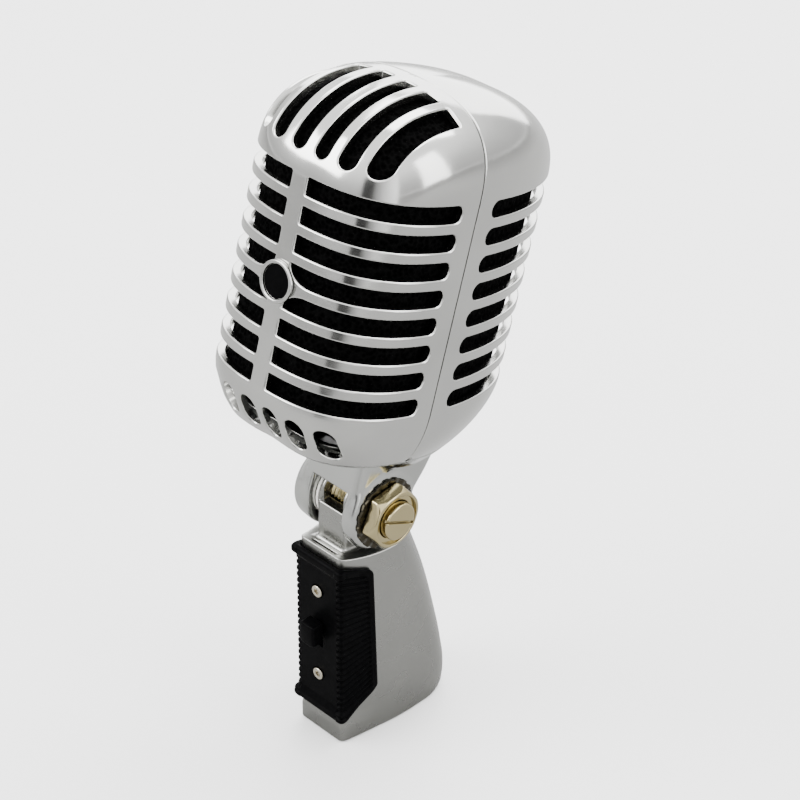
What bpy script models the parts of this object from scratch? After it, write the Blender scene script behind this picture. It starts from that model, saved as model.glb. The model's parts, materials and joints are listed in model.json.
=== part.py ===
"""Retro desktop microphone: slotted die-cast head on a tilting yoke, over a hollow base with a slide switch.

All dimensions are in millimetres here and are written to the meshes in metres. +Z is up, the front faces -Y,
and the world origin is the axis of the stand thread on the underside. Head parts are drawn upright, in a frame
whose origin lies in the seam plane at the top of the first slot; they hang from an empty on the pivot axis that
carries the tilt of the rest pose.
"""

import math

import bmesh
import bpy
import numpy as np
from mathutils import Vector
from mathutils.geometry import delaunay_2d_cdt

MM = 0.001
GAP = 0.3  # between neighbouring pieces

# Head shell: half-width, depths in front of and behind the seam, and the exponents of the plan curves
HALF_WIDTH = 28.4
FRONT_DEPTH, FRONT_EXPONENT = 33.2, 2.85
REAR_DEPTH, REAR_EXPONENT = 49.0, 2.0
WALL = 2.0
DOME_START, DOME_RISE, DOME_SIDE, DOME_ENDS = -1.0, 23.5, 2.6, 2.1
BOWL_START, BOWL_DROP, BOWL_SIDE, BOWL_ENDS = -55.7, 28.2, 2.0, 1.5
SHELL_BOTTOM = -70.0

# Openings of the shells
SLOT_COUNT, SLOT_PITCH, SLOT_HEIGHT = 8, 7.17, 4.4
RIB_HALF = 2.6
SLOT_END_FROM_SEAM = 5.5
TOP_SLOTS = ((3.8, 4.4), (11.4, 4.9), (19.2, 4.8))  # centre and width, mirrored
TOP_SLOT_FOOT, TOP_SLOT_END = 5.0, 5.2
ARCHES = ((3.9, 5.6), (11.7, 5.6), (19.2, 4.6))
ARCH_TOP, ARCH_FOOT = -59.5, -68.0

# Badge on the front rib
BADGE_Z, BADGE_RADIUS, BADGE_RIM = -27.3, 4.2, 5.4
BADGE_FILLET = 6.9  # how far from the rib the slots beside the badge are cut back

# Pivot of the head, its rest tilt, and where the head frame's origin lies from it when upright
PIVOT_Y, PIVOT_Z = -7.1, 74.2
REST_TILT = math.radians(16.4)
SEAM_FROM_PIVOT_Y, TOP_FROM_PIVOT_Z = -12.9, 93.7

# Yoke, tongue and fasteners on the pivot axis
EAR_RADIUS, EAR_INNER, EAR_OUTER, EAR_BOSS, EAR_LEFT = 11.1, 6.2, 10.0, 10.5, 12.4
TONGUE_RADIUS, TONGUE_HALF, WINDOW_HALF, WINDOW_FOOT = 9.1, 5.1, 3.9, 74.8
SADDLE_RADIUS, SADDLE_BOTTOM = 40.0, 61.5
BOLT_RADIUS, BOLT_HEAD_RADIUS, BOLT_HEAD_HEIGHT = 5.3, 7.2, 2.2
NUT_FLATS, NUT_HEIGHT = 16.0, 4.0

# Base
BASE_FRONT, BASE_TOP = -20.0, 63.4
BASE_FRONT_HALF, BASE_SIDE_SWELL = 7.7, 4.1
BASE_REAR = ((0, 18.4), (1.2, 20.0), (4, 21.0), (9, 21.1), (16, 20.0), (31, 16.6), (47, 12.2), (BASE_TOP, 6.4))
SOCKET_Z, SOCKET_RADIUS = 27.0, 8.1
THREAD_RADIUS, INSERT_RADIUS, INSERT_HEIGHT = 7.94, 8.7, 11.0

# Switch cover
COVER_BACK = -10.2
COVER_SKIN, COVER_RIB = 1.2, 0.5
RIB_COUNT = 18
COVER_FOOT, COVER_TOP = (7.9, 15.4), (60.9, 57.2)  # at the front and at the back edge
SCREW_Z = (49.6, 20.9)
KNOB_Z, KNOB_TRAVEL = 37.0, 4.0

# Capsule
CAPSULE_Y, CAPSULE_Z = 0.0, -25.0
BRACKET_SCREW_Y, CABLE_BORE_Y = 11.0, 4.0  # from the pivot axis


# ---------------------------------------------------------------- materials and solids

def material(name, colour, roughness, metallic):
    made = bpy.data.materials.new(name)
    made.use_nodes = True
    shader = made.node_tree.nodes["Principled BSDF"]
    shader.inputs["Base Color"].default_value = (*colour, 1)
    shader.inputs["Roughness"].default_value = roughness
    shader.inputs["Metallic"].default_value = metallic
    made.diffuse_color = (*colour, 1)
    return made


def solid(name, points, faces, look, parent=None):
    """One object from points in millimetres, its faces turned outwards."""
    mesh = bpy.data.meshes.new(name)
    mesh.from_pydata([tuple(float(c) * MM for c in p) for p in points], [], faces)
    bm = bmesh.new()
    bm.from_mesh(mesh)
    bmesh.ops.recalc_face_normals(bm, faces=bm.faces)
    bm.to_mesh(mesh)
    bm.free()
    mesh.materials.append(look)
    made = bpy.data.objects.new(name, mesh)
    bpy.context.scene.collection.objects.link(made)
    made.parent = parent
    mesh.shade_smooth()
    mesh.set_sharp_from_angle(angle=math.radians(35))
    return made


def placed(u, v, along, axis):
    """(u, v) across and `along` down an axis, as x, y, z. Around X it's (y, z), around Y (x, z), around Z (x, y)."""
    return {"X": (along, u, v), "Y": (u, along, v), "Z": (u, v, along)}[axis]


def revolve(profile, axis, centre=(0, 0), sides=24):
    """Points and faces of a closed (radius, along) profile turned about an axis through `centre`."""
    points, rings = [], []
    for radius, along in profile:
        if radius < 1e-6:
            rings.append([len(points)] * sides)
            points.append(placed(*centre, along, axis))
            continue
        rings.append(list(range(len(points), len(points) + sides)))
        for i in range(sides):
            a = 2 * math.pi * i / sides
            u, v = centre[0] + radius * math.cos(a), centre[1] + radius * math.sin(a)
            points.append(placed(u, v, along, axis))
    faces = []
    for k in range(len(profile)):
        here, after = rings[k], rings[(k + 1) % len(profile)]
        for i in range(sides):
            j = (i + 1) % sides
            face = list(dict.fromkeys((here[i], here[j], after[j], after[i])))
            if len(face) > 2:
                faces.append(face)
    return points, faces


def ring(inner, outer, low, high, **where):
    return revolve([(inner, low), (outer, low), (outer, high), (inner, high)], **where)


def rod(radius, low, high, **where):
    return revolve([(0, low), (radius, low), (radius, high), (0, high)], **where)


def prism(outline, low, high, axis):
    """Points and faces of a 2-D outline pushed along an axis."""
    n = len(outline)
    points = [placed(u, v, along, axis) for along in (low, high) for u, v in outline]
    sides = [(i, (i + 1) % n, n + (i + 1) % n, n + i) for i in range(n)]
    return points, [tuple(range(n)), tuple(range(n, 2 * n)), *sides]


def box(x, y, z):
    return prism([(x[0], y[0]), (x[1], y[0]), (x[1], y[1]), (x[0], y[1])], z[0], z[1], "Z")


def arc(centre, radius, start, end, steps):
    angles = [math.radians(start + (end - start) * i / steps) for i in range(steps + 1)]
    return [(centre[0] + radius * math.cos(a), centre[1] + radius * math.sin(a)) for a in angles]


def combine(target, operation, name, shape, parent=None):
    """A Boolean of the target with a hidden helper object."""
    helper = solid(name, *shape, target.data.materials[0], parent)
    helper.hide_render = True
    helper.display_type = "WIRE"
    step = target.modifiers.new(name, "BOOLEAN")
    step.operation, step.solver, step.object = operation, "EXACT", helper


def cut(target, name, shape, parent=None):
    combine(target, "DIFFERENCE", name, shape, parent)


def join(target, name, shape, parent=None):
    combine(target, "UNION", name, shape, parent)


# ---------------------------------------------------------------- head surface

def plan(front):
    return (FRONT_DEPTH, FRONT_EXPONENT) if front else (REAR_DEPTH, REAR_EXPONENT)


def plan_radius(a, front):
    """Distance from the head's axis to the wall at angle a from the side, at full width."""
    depth, m = plan(front)
    return (abs(math.cos(a) / HALF_WIDTH) ** m + abs(math.sin(a) / depth) ** m) ** (-1 / m)


def fullness(a, front, side, ends):
    """Exponent of the vertical section, which changes from the sides to the front and back."""
    depth, _ = plan(front)
    r = plan_radius(a, front)
    across, along = abs(r * math.cos(a)) / HALF_WIDTH, abs(r * math.sin(a)) / depth
    w = along / (across + along)
    return side + (ends - side) * w * w * (3 - 2 * w)


def shrink_at(a, z, front):
    """How much of the full plan is left at height z."""
    if z > DOME_START:
        n = fullness(a, front, DOME_SIDE, DOME_ENDS)
        return max(0.0, 1 - ((z - DOME_START) / DOME_RISE) ** n) ** (1 / n)
    if z < BOWL_START:
        n = fullness(a, front, BOWL_SIDE, BOWL_ENDS)
        return max(0.0, 1 - ((BOWL_START - z) / BOWL_DROP) ** n) ** (1 / n)
    return 1.0


def height_of(a, shrink, front):
    """Height on the dome where the plan has shrunk this much."""
    n = fullness(a, front, DOME_SIDE, DOME_ENDS)
    return DOME_START + DOME_RISE * max(0.0, 1 - shrink**n) ** (1 / n)


def surface_at(a, z, front):
    r = plan_radius(a, front) * shrink_at(a, z, front)
    return np.array([r * math.cos(a), (-1 if front else 1) * r * math.sin(a), z])


def dome_point(a, tip, front):
    """Point of the dome at elevation `tip`, from 0 at its foot to a right angle at the top."""
    n = fullness(a, front, DOME_SIDE, DOME_ENDS)
    q = (math.cos(tip) ** n + math.sin(tip) ** n) ** (-1 / n)
    r = plan_radius(a, front) * q * math.cos(tip)
    return np.array([r * math.cos(a), (-1 if front else 1) * r * math.sin(a), DOME_START + DOME_RISE * q * math.sin(tip)])


def outward(point, front):
    """Unit normal of the head surface, from the gradient of its equation."""
    def level(p):
        x, y, z = p
        a = math.atan2(abs(y), x)
        rho = math.hypot(x, y) / plan_radius(a, front)
        if z > DOME_START:
            n = fullness(a, front, DOME_SIDE, DOME_ENDS)
            return (rho**n + ((z - DOME_START) / DOME_RISE) ** n) ** (1 / n)
        if z < BOWL_START:
            n = fullness(a, front, BOWL_SIDE, BOWL_ENDS)
            return (rho**n + ((BOWL_START - z) / BOWL_DROP) ** n) ** (1 / n)
        return rho

    step = 0.01
    slope = np.array([level(point + step * e) - level(point - step * e) for e in np.eye(3)])
    if abs(point[1]) < 0.02:
        slope[1] = 0
    return slope / np.linalg.norm(slope)


def angle_at_x(x, z, front):
    """Plan angle where the wall at height z is x from the centre plane."""
    low, high = 0.0, math.pi
    for _ in range(40):
        a = (low + high) / 2
        if surface_at(a, z, front)[0] > x:
            low = a
        else:
            high = a
    return (low + high) / 2


def angle_at_y(y, front, left):
    """Plan angle where the full-width wall is |y| from the seam, on one side."""
    low, high = 0.0, math.pi / 2
    for _ in range(40):
        a = (low + high) / 2
        if abs(surface_at(a, DOME_START, front)[1]) < y:
            low = a
        else:
            high = a
    return math.pi - low if left else low


def flat(point, front):
    """A picture of the half-shell in a plane: polar about the top of the dome, stretched so that angles are kept."""
    x, y, z = point
    a = math.atan2(abs(y), x)
    rho = min(1.0, math.hypot(x, y) / plan_radius(a, front))
    if z >= DOME_START:
        reach = math.tan(0.5 * math.atan2(rho, (z - DOME_START) / DOME_RISE))
    else:
        reach = math.tan(math.pi / 4) * math.exp((DOME_START - z) / 33.0)
    return Vector((reach * math.cos(a), -reach * math.sin(a)))


# ---------------------------------------------------------------- openings

def slot_outline(index, front, left):
    """A horizontal slot, square at the rib and rounded near the seam."""
    top = -SLOT_PITCH * index
    foot = top - SLOT_HEIGHT
    middle, r = (top + foot) / 2, SLOT_HEIGHT / 2
    near = angle_at_x(RIB_HALF, middle, front)
    far = angle_at_y(SLOT_END_FROM_SEAM, front, False)
    end = angle_at_y(SLOT_END_FROM_SEAM + r, front, False)
    stations = [near + (end - near) * k / 6 for k in range(7)]
    lower = [(a, foot) for a in stations]
    upper = [(a, top) for a in reversed(stations)]
    round_end = [(end + (far - end) * math.sin(math.radians(b)), middle - r * math.cos(math.radians(b)))
                 for b in (45, 90, 135)]
    if front and index in (3, 4):
        reach = angle_at_x(RIB_HALF + BADGE_FILLET, middle, front)
        curve = [(near + (reach - near) * (1 - math.cos(math.radians(b))), r * 2 * math.sin(math.radians(b)))
                 for b in (8, 25, 45, 67, 90)]
        beyond = [a for a in stations if a < reach - 0.06]
        if index == 3:
            lower = [(a, top - d) for a, d in curve] + [(a, foot) for a in beyond]
            upper = upper[:-1] + [(near, top)]
        else:
            upper = [(a, top) for a in reversed(beyond)] + [(a, foot + d) for a, d in reversed(curve)]
    outline = lower + round_end + upper
    points = [surface_at(a, z, front) for a, z in outline]
    return mirrored(points) if left else points


def top_slot_outline(centre, width, left):
    """A slot over the dome: straight in front view, rounded at its foot and square behind."""
    r = width / 2
    foot = TOP_SLOT_FOOT + r
    points = [front_point(centre + r * math.sin(math.radians(b)), foot - r * math.cos(math.radians(b)))
              for b in range(-60, 61, 30)]
    right, left_side = [], []
    for side, run in ((1, right), (-1, left_side)):
        x = centre + side * r
        start = front_point(x, foot)
        for k in range(7):
            y = start[1] + (-TOP_SLOT_END - start[1]) * (k / 6) ** 1.5
            run.append(plan_point(x, y))
    points += right + left_side[::-1]
    return mirrored(points) if left else points


def arch_outline(centre, width, left):
    r = width / 2
    ends = [(ARCH_TOP - r, a) for a in range(0, 181, 45)] + [(ARCH_FOOT + r, a) for a in range(180, 361, 45)]
    points = [front_point(centre + r * math.cos(math.radians(a)), z + r * math.sin(math.radians(a))) for z, a in ends]
    return mirrored(points) if left else points


def mirrored(points):
    return [p * np.array([-1, 1, 1]) for p in reversed(points)]


def front_point(x, z):
    """Point of the front shell seen at (x, z) from straight ahead."""
    return surface_at(angle_at_x(x, z, True), z, True)


def plan_point(x, y):
    """Point of the front dome above (x, y)."""
    a = math.atan2(abs(y), x)
    shrink = math.hypot(x, y) / plan_radius(a, True)
    return np.array([x, y, height_of(a, shrink, True)])


def openings(front):
    loops = [slot_outline(i, front, left) for i in range(SLOT_COUNT) for left in (False, True)]
    if front:
        loops += [top_slot_outline(c, w, left) for c, w in TOP_SLOTS for left in (False, True)]
        loops += [arch_outline(c, w, left) for c, w in ARCHES for left in (False, True)]
    return loops


# ---------------------------------------------------------------- shells

def inside(point, loop):
    hit = False
    for (x1, y1), (x2, y2) in zip(loop, loop[1:] + loop[:1]):
        if (y1 > point[1]) != (y2 > point[1]) and point[0] < x1 + (point[1] - y1) * (x2 - x1) / (y2 - y1):
            hit = not hit
    return hit


def station(t, front):
    """Plan angle at parameter t of the plan's ellipse, so that stations crowd where the plan curves most."""
    return math.atan2(plan(front)[0] * math.sin(t), HALF_WIDTH * math.cos(t))


def shell_grid(front, bottom, columns, rows, tips):
    """Grid points of a half-shell: rows down the wall, rings over the dome, and the top point."""
    angles = [station(math.pi * k / columns, front) for k in range(columns + 1)]
    points = [dome_point(a, math.pi / 2 * t / tips, front) for t in range(1, tips) for a in angles]
    heights = [DOME_START + (BOWL_START - DOME_START) * k / rows for k in range(rows)]
    heights += [BOWL_START + (bottom - BOWL_START) * k / 4 for k in range(5)]
    points += [surface_at(a, z, front) for z in heights for a in angles]
    return points + [np.array([0, 0, DOME_START + DOME_RISE])]


def half_shell(front, bottom, inset, thickness, loops=(), columns=14, rows=3, tips=6):
    """Points and faces of a half-shell with openings: an outer skin, the same skin further in, and walls between."""
    grid = shell_grid(front, bottom, columns, rows, tips)
    flat_loops = [[flat(p, front) for p in loop] for loop in loops]
    points = [p for loop in loops for p in loop]
    pictures = [q for loop in flat_loops for q in loop]
    edges, start = [], 0
    for loop in loops:
        edges += [(start + k, start + (k + 1) % len(loop)) for k in range(len(loop))]
        start += len(loop)
    taken = np.array(points) if points else np.empty((0, 3))
    for p in grid:
        q = flat(p, front)
        near_opening = len(taken) and np.linalg.norm(taken - p, axis=1).min() < 2.6
        on_edge = abs(p[1]) < 1e-6 or abs(p[2] - bottom) < 1e-6
        if on_edge or not (near_opening or any(inside(q, loop) for loop in flat_loops)):
            points.append(p)
            pictures.append(q)
    _, _, triangles, _, _, _ = delaunay_2d_cdt(pictures, edges, [], 0, 1e-9)
    middle = lambda t: sum((pictures[i] for i in t), Vector((0, 0))) / 3
    skin = [t for t in triangles if not any(inside(middle(t), loop) for loop in flat_loops)]
    skin = [t for t in skin if abs(turn(*(pictures[i] for i in t))) > 1e-9]
    seam = -GAP / 2 if front else GAP / 2
    outer, inner = [], []
    for p in points:
        n = outward(p, front)
        for layer, depth in ((outer, inset), (inner, inset + thickness)):
            q = p - n * depth
            q[1] = min(q[1], seam) if front else max(q[1], seam)
            layer.append(q)
    return stitched(outer, inner, skin)


def turn(a, b, c):
    return (b - a).x * (c - a).y - (b - a).y * (c - a).x


def stitched(outer, inner, skin):
    """Closes two matching skins with walls along every edge that only one triangle uses."""
    used = {}
    for t in skin:
        for k in range(3):
            edge = (t[k], t[(k + 1) % 3])
            used[frozenset(edge)] = None if frozenset(edge) in used else edge
    n = len(outer)
    faces = [tuple(t) for t in skin] + [tuple(n + i for i in reversed(t)) for t in skin]
    faces += [(b, a, n + a, n + b) for a, b in filter(None, used.values())]
    points = outer + inner
    kept = sorted({i for f in faces for i in f})
    renumbered = {old: new for new, old in enumerate(kept)}
    return [points[i] for i in kept], [tuple(renumbered[i] for i in f) for f in faces]


def from_pivot(shape):
    """Moves head-frame points to the pivot's frame, where the head's objects live."""
    points, faces = shape
    return [(p[0], p[1] + SEAM_FROM_PIVOT_Y, p[2] + TOP_FROM_PIVOT_Z) for p in points], faces


def build_shells(head, chrome, foam):
    for name, front in (("front_grille", True), ("rear_grille", False)):
        solid(name, *from_pivot(half_shell(front, SHELL_BOTTOM, 0, WALL, openings(front))), chrome, head)
    for name, front in (("foam_liner_front", True), ("foam_liner_rear", False)):
        shape = half_shell(front, -56.5, WALL + 1.0, 2.4, columns=12, rows=3, tips=5)
        solid(name, *from_pivot(shape), foam, head)


def build_badge(head, chrome, black):
    face = -FRONT_DEPTH - 0.05
    where = {"axis": "Y", "centre": (0, BADGE_Z)}
    rim = [(BADGE_RADIUS + 0.15, face), (BADGE_RIM, face), (BADGE_RIM - 0.2, face - 0.9), (BADGE_RADIUS + 0.5, face - 1.1),
           (BADGE_RADIUS + 0.15, face - 0.7)]
    solid("badge_rim", *from_pivot(revolve(rim, sides=28, **where)), chrome, head)
    solid("badge_disc", *from_pivot(rod(BADGE_RADIUS, face - 0.6, face, sides=24, **where)), black, head)


# ---------------------------------------------------------------- yoke and pivot

def bowl_loft(rows, sides=32):
    """Rings of the head's lower surface at (height, inset), capped by the first and the last."""
    points, faces = [], []
    for z, inset in rows:
        for i in range(sides):
            t = 2 * math.pi * i / sides
            front = t < math.pi
            p = surface_at(station(t if front else 2 * math.pi - t, front), z, front)
            n = outward(p, front)
            across = math.hypot(n[0], n[1])
            points.append(p - np.array([n[0], n[1], 0]) * inset / across)
    for k in range(len(rows) - 1):
        here, after = k * sides, (k + 1) * sides
        for i in range(sides):
            j = (i + 1) % sides
            faces.append((here + i, here + j, after + j, after + i))
    faces += [tuple(range(sides)), tuple(range(len(points) - sides, len(points)))]
    return points, faces


def build_yoke(head, chrome):
    """Casting under the head: a lip inside the shells, a bowl flush with them, a neck and two ears."""
    lip = WALL + 1.8
    rows = [(-81.5, 0), (-77.5, 0), (-73.5, 0), (SHELL_BOTTOM - GAP, 0.3), (SHELL_BOTTOM - 0.1, lip), (-66, lip),
            (-66, lip + 1.9), (-70, 2.6 + lip), (-73.5, 3.2), (-77.5, 4.2), (-78.7, 4.4)]
    yoke = solid("swivel_yoke", *from_pivot(bowl_loft(rows)), chrome, head)
    neck = [(-EAR_RADIUS, 15), *arc((0, 0), EAR_RADIUS, 180, 366, 16), (15.0, 9), (19.4, 20.4), (-9, 20.4)]
    join(yoke, "neck_form", prism(neck, -EAR_OUTER, EAR_OUTER, "X"), head)
    bosses = [(0, -EAR_LEFT), (EAR_RADIUS - 1.6, -EAR_LEFT), (EAR_RADIUS - 0.5, -EAR_LEFT + 0.7),
              (EAR_RADIUS - 0.1, -EAR_LEFT + 1.6), (EAR_RADIUS - 0.7, EAR_BOSS), (0, EAR_BOSS)]
    join(yoke, "ear_boss_form", revolve(bosses, axis="X", sides=32), head)
    slot = [(-30, -20), (30, -20), (30, 9.8), *arc((0, 0), 9.8, 90, 148, 5), (-30, 6.4)]
    cut(yoke, "tongue_slot", prism(slot, -EAR_INNER, EAR_INNER, "X"), head)
    cut(yoke, "pivot_bore", rod(BOLT_RADIUS + GAP, -20, 20, axis="X", sides=24), head)
    cut(yoke, "head_recess", rod(BOLT_HEAD_RADIUS + GAP, -20, -EAR_LEFT + BOLT_HEAD_HEIGHT, axis="X", sides=24), head)
    cut(yoke, "cable_bore", rod(2.6, 0, 30, axis="Z", centre=(0, CABLE_BORE_Y), sides=16), head)
    cut(yoke, "bracket_screw_bore", rod(1.5, 14, 27, axis="Z", centre=(0, BRACKET_SCREW_Y), sides=12), head)


def hexagon(flats):
    r = flats / math.sqrt(3)
    return [(r * math.cos(math.radians(60 * k + 23)), r * math.sin(math.radians(60 * k + 23))) for k in range(6)]


def star_washer(inner, outer, teeth=14):
    """Points and faces of a lock washer with teeth around its bore."""
    n = teeth * 2
    points = []
    for along in (EAR_BOSS + 0.15, EAR_BOSS + 1.05):
        for i in range(n):
            a = 2 * math.pi * i / n
            r = inner + (1.1 if i % 2 else 0)
            points += [placed(r * math.cos(a), r * math.sin(a), along, "X"),
                       placed(outer * math.cos(a), outer * math.sin(a), along, "X")]
    faces = []
    for i in range(n):
        a, b = 2 * i, 2 * ((i + 1) % n)
        c, d = a + 2 * n, b + 2 * n
        faces += [(a, a + 1, b + 1, b), (c, d, d + 1, c + 1), (a, b, d, c), (a + 1, c + 1, d + 1, b + 1)]
    return points, faces


def build_pivot(head, champagne, dark_steel, nylon):
    nut_inner, nut_outer = EAR_BOSS + 1.2, EAR_BOSS + 1.2 + NUT_HEIGHT
    nut = solid("pivot_nut", *prism(hexagon(NUT_FLATS), nut_inner, nut_outer, "X"), champagne, head)
    corner = NUT_FLATS / math.sqrt(3)
    chamfer = [(0, nut_inner - 1), (corner - 0.2, nut_inner - 1), (corner - 0.2, nut_outer - 1.6),
               (NUT_FLATS / 2 - 0.1, nut_outer), (NUT_FLATS / 2 - 0.1, nut_outer + 1), (0, nut_outer + 1)]
    combine(nut, "INTERSECT", "nut_chamfer", revolve(chamfer, axis="X", sides=36), head)
    cut(nut, "nut_bore", rod(BOLT_RADIUS + 0.15, nut_inner - 5, nut_outer + 5, axis="X", sides=24), head)
    cut(nut, "nut_recess", ring(BOLT_RADIUS - 0.3, 7.0, nut_outer - 0.9, nut_outer + 5, axis="X", sides=24), head)
    end = nut_outer + 1.3
    tail = -EAR_LEFT + BOLT_HEAD_HEIGHT - GAP
    shape = [(0, -EAR_LEFT), (BOLT_HEAD_RADIUS - 0.5, -EAR_LEFT), (BOLT_HEAD_RADIUS, -EAR_LEFT + 0.5),
             (BOLT_HEAD_RADIUS, tail), (BOLT_RADIUS, tail), (BOLT_RADIUS, end - 0.5), (BOLT_RADIUS - 0.5, end), (0, end)]
    bolt = solid("pivot_bolt", *revolve(shape, axis="X", sides=32), champagne, head)
    cut(bolt, "bolt_slot", box((end - 1.3, end + 3), (-8, 8), (-0.6, 0.6)), head)
    cut(bolt, "bolt_head_slot", box((-EAR_LEFT - 3, -EAR_LEFT + 1.2), (-12, 12), (-0.7, 0.7)), head)
    solid("lock_washer", *star_washer(BOLT_RADIUS + 0.3, 9.6), dark_steel, head)
    for name, side in (("friction_washer_left", -1), ("friction_washer_right", 1)):
        low, high = sorted((side * (TONGUE_HALF + 0.2), side * (EAR_INNER - 0.2)))
        solid(name, *ring(BOLT_RADIUS + 0.3, 8.6, low, high, axis="X", sides=28), nylon, head)


# ---------------------------------------------------------------- capsule

def build_capsule(head, steel, magnet_look, plastic, rubber, copper, film):
    """Moving-coil capsule facing forwards, in rubber rings inside a bracket that stands on the yoke."""
    y0 = CAPSULE_Y
    where = {"axis": "Y", "centre": (0, CAPSULE_Z)}

    def turned(name, profile, look, sides=24):
        shape = revolve([(r, y0 + y) for r, y in profile], sides=sides, **where)
        return solid(name, *from_pivot(shape), look, head)

    turned("capsule_housing", [(14.6, -12), (16, -12), (16, 12), (3, 12), (3, 10), (14.6, 10)], plastic)
    cap = turned("capsule_cap", [(0, -15.2), (14.8, -15.2), (16, -14.2), (16, -12.2), (14.8, -12.2), (14.8, -13.6), (0, -13.6)], steel)
    for k in range(7):
        a = math.tau * k / 6
        hole = (0, 0) if k == 6 else (8.5 * math.cos(a), 8.5 * math.sin(a))
        centre = (hole[0], hole[1] + CAPSULE_Z)
        cut(cap, f"cap_port_{k}", from_pivot(rod(2.1, -30, 0, axis="Y", centre=centre, sides=8)), head)
    turned("diaphragm", [(0, -11.9), (7.6, -10.9), (9, -11.5), (14.2, -11), (14.2, -10.7), (9, -11.2), (7.6, -10.6), (0, -11.6)], film)
    turned("voice_coil", [(7.3, -10.2), (8.2, -10.2), (8.2, -5.6), (7.3, -5.6)], copper)
    turned("pole_piece", [(0, -8.6), (6.8, -8.6), (6.8, -6), (0, -6)], steel)
    turned("magnet", [(0, -5.7), (6.6, -5.7), (6.6, -0.3), (0, -0.3)], magnet_look)
    turned("magnet_cup", [(8.8, -8.6), (12, -8.6), (12, 3), (0, 3), (0, 0), (8.8, 0)], steel)
    for name, y in (("shock_ring_front", -9), ("shock_ring_rear", 5)):
        turned(name, [(16.25, y), (18.7, y), (18.7, y + 4), (16.25, y + 4)], rubber)
    band = turned("capsule_bracket", [(19, -9.5), (20.2, -9.5), (20.2, 9.5), (19, 9.5)], steel)
    top, foot = CAPSULE_Z - 19.6, -72.7
    join(band, "bracket_post", from_pivot(box((-6, 6), (5, 6.6), (foot, top))), head)
    join(band, "bracket_foot", from_pivot(box((-6, 6), (4, 26), (foot, foot + 1.5))), head)
    cut(band, "bracket_screw_hole", rod(1.5, 10, 30, axis="Z", centre=(0, BRACKET_SCREW_Y), sides=12), head)
    cut(band, "bracket_cable_hole", rod(2.6, 10, 30, axis="Z", centre=(0, CABLE_BORE_Y), sides=16), head)


# ---------------------------------------------------------------- base

def base_half_width(y):
    run = min(1.0, (y - BASE_FRONT) / 25)
    return BASE_FRONT_HALF + BASE_SIDE_SWELL * math.sin(run * math.pi / 2)


def base_section(rear, offset=0.0):
    """Outline of the base at one height: flat front, swelling sides, round back."""
    shoulder = rear - 10.5
    half = [(0, BASE_FRONT), (BASE_FRONT_HALF - 1.4, BASE_FRONT), (BASE_FRONT_HALF - 0.3, BASE_FRONT + 0.5)]
    steps = 6
    for k in range(steps + 1):
        y = BASE_FRONT + 1.6 + (shoulder - BASE_FRONT - 1.6) * k / steps
        half.append((base_half_width(y), y))
    width = base_half_width(shoulder)
    for b in (22, 42, 60, 76):
        c, s = math.cos(math.radians(b)), math.sin(math.radians(b))
        half.append((width * c ** (2 / 2.4), shoulder + (rear - shoulder) * s ** (2 / 2.4)))
    half.append((0, rear))
    return half + [(-x, y) for x, y in reversed(half[1:-1])]


def build_base(cast):
    rows = []
    for z, rear in BASE_REAR:
        shrink = 0.965 if z == 0 else 1
        rows.append([(x * shrink, y, z) for x, y in base_section(rear)])
    n = len(rows[0])
    points = [p for row in rows for p in row]
    faces = [tuple(range(n)), tuple(range(len(points) - n, len(points)))]
    for k in range(len(rows) - 1):
        faces += [(k * n + i, k * n + (i + 1) % n, (k + 1) * n + (i + 1) % n, (k + 1) * n + i) for i in range(n)]
    base = solid("base_body", points, faces, cast)
    pivot = (PIVOT_Y, PIVOT_Z)
    saddle = (PIVOT_Y, SADDLE_BOTTOM + SADDLE_RADIUS)
    cut(base, "saddle", rod(SADDLE_RADIUS, -30, 30, axis="X", centre=saddle, sides=120))
    round_top = arc(pivot, TONGUE_RADIUS, 0, 180, 16)
    tongue = [(round_top[-1][0], 52), (round_top[0][0], 52), *round_top]
    join(base, "tongue_form", prism(tongue, -TONGUE_HALF, TONGUE_HALF, "X"))
    cut(base, "tongue_bore", rod(BOLT_RADIUS + GAP, -10, 10, axis="X", centre=pivot, sides=24))
    cut(base, "tongue_window", box((-WINDOW_HALF, WINDOW_HALF), (BASE_FRONT - 2, PIVOT_Y), (WINDOW_FOOT, 90)))
    cut(base, "ledge_groove", box((-4.6, 4.6), (BASE_FRONT + 1.1, BASE_FRONT + 1.9), (62.4, 70)))
    cut(base, "cavity", box((-6, 6), (BASE_FRONT + 4.2, 4), (15, 54)))
    cut(base, "switch_opening", box((-4.6, 4.6), (BASE_FRONT - 3, BASE_FRONT + 5), (27, 46)))
    cut(base, "socket_bore", rod(SOCKET_RADIUS, -2.6, 30, axis="Y", centre=(0, SOCKET_Z), sides=36))
    cut(base, "insert_bore", rod(INSERT_RADIUS + GAP, -5, INSERT_HEIGHT + GAP, axis="Z", sides=40))
    cut(base, "set_screw_bore", rod(1.5, -20, -5, axis="X", centre=(0, SOCKET_Z), sides=14))
    for k, z in enumerate(SCREW_Z):
        cut(base, f"cover_screw_bore_{k}", rod(1.15, BASE_FRONT - 3, BASE_FRONT + 4.8, axis="Y", centre=(0, z), sides=14))


def cover_path(offset):
    """Half of the cover's plan, from the rib field's back edge to the middle of the front."""
    side = [(base_half_width(y) + offset, y) for y in (COVER_BACK, -12.2, -14.8, -17.4)]
    front = BASE_FRONT - offset
    corner = [(BASE_FRONT_HALF + offset, BASE_FRONT + 0.9), (BASE_FRONT_HALF + offset - 0.9, front)]
    return side + corner + [(4.6, front), (4.2, front)]


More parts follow.
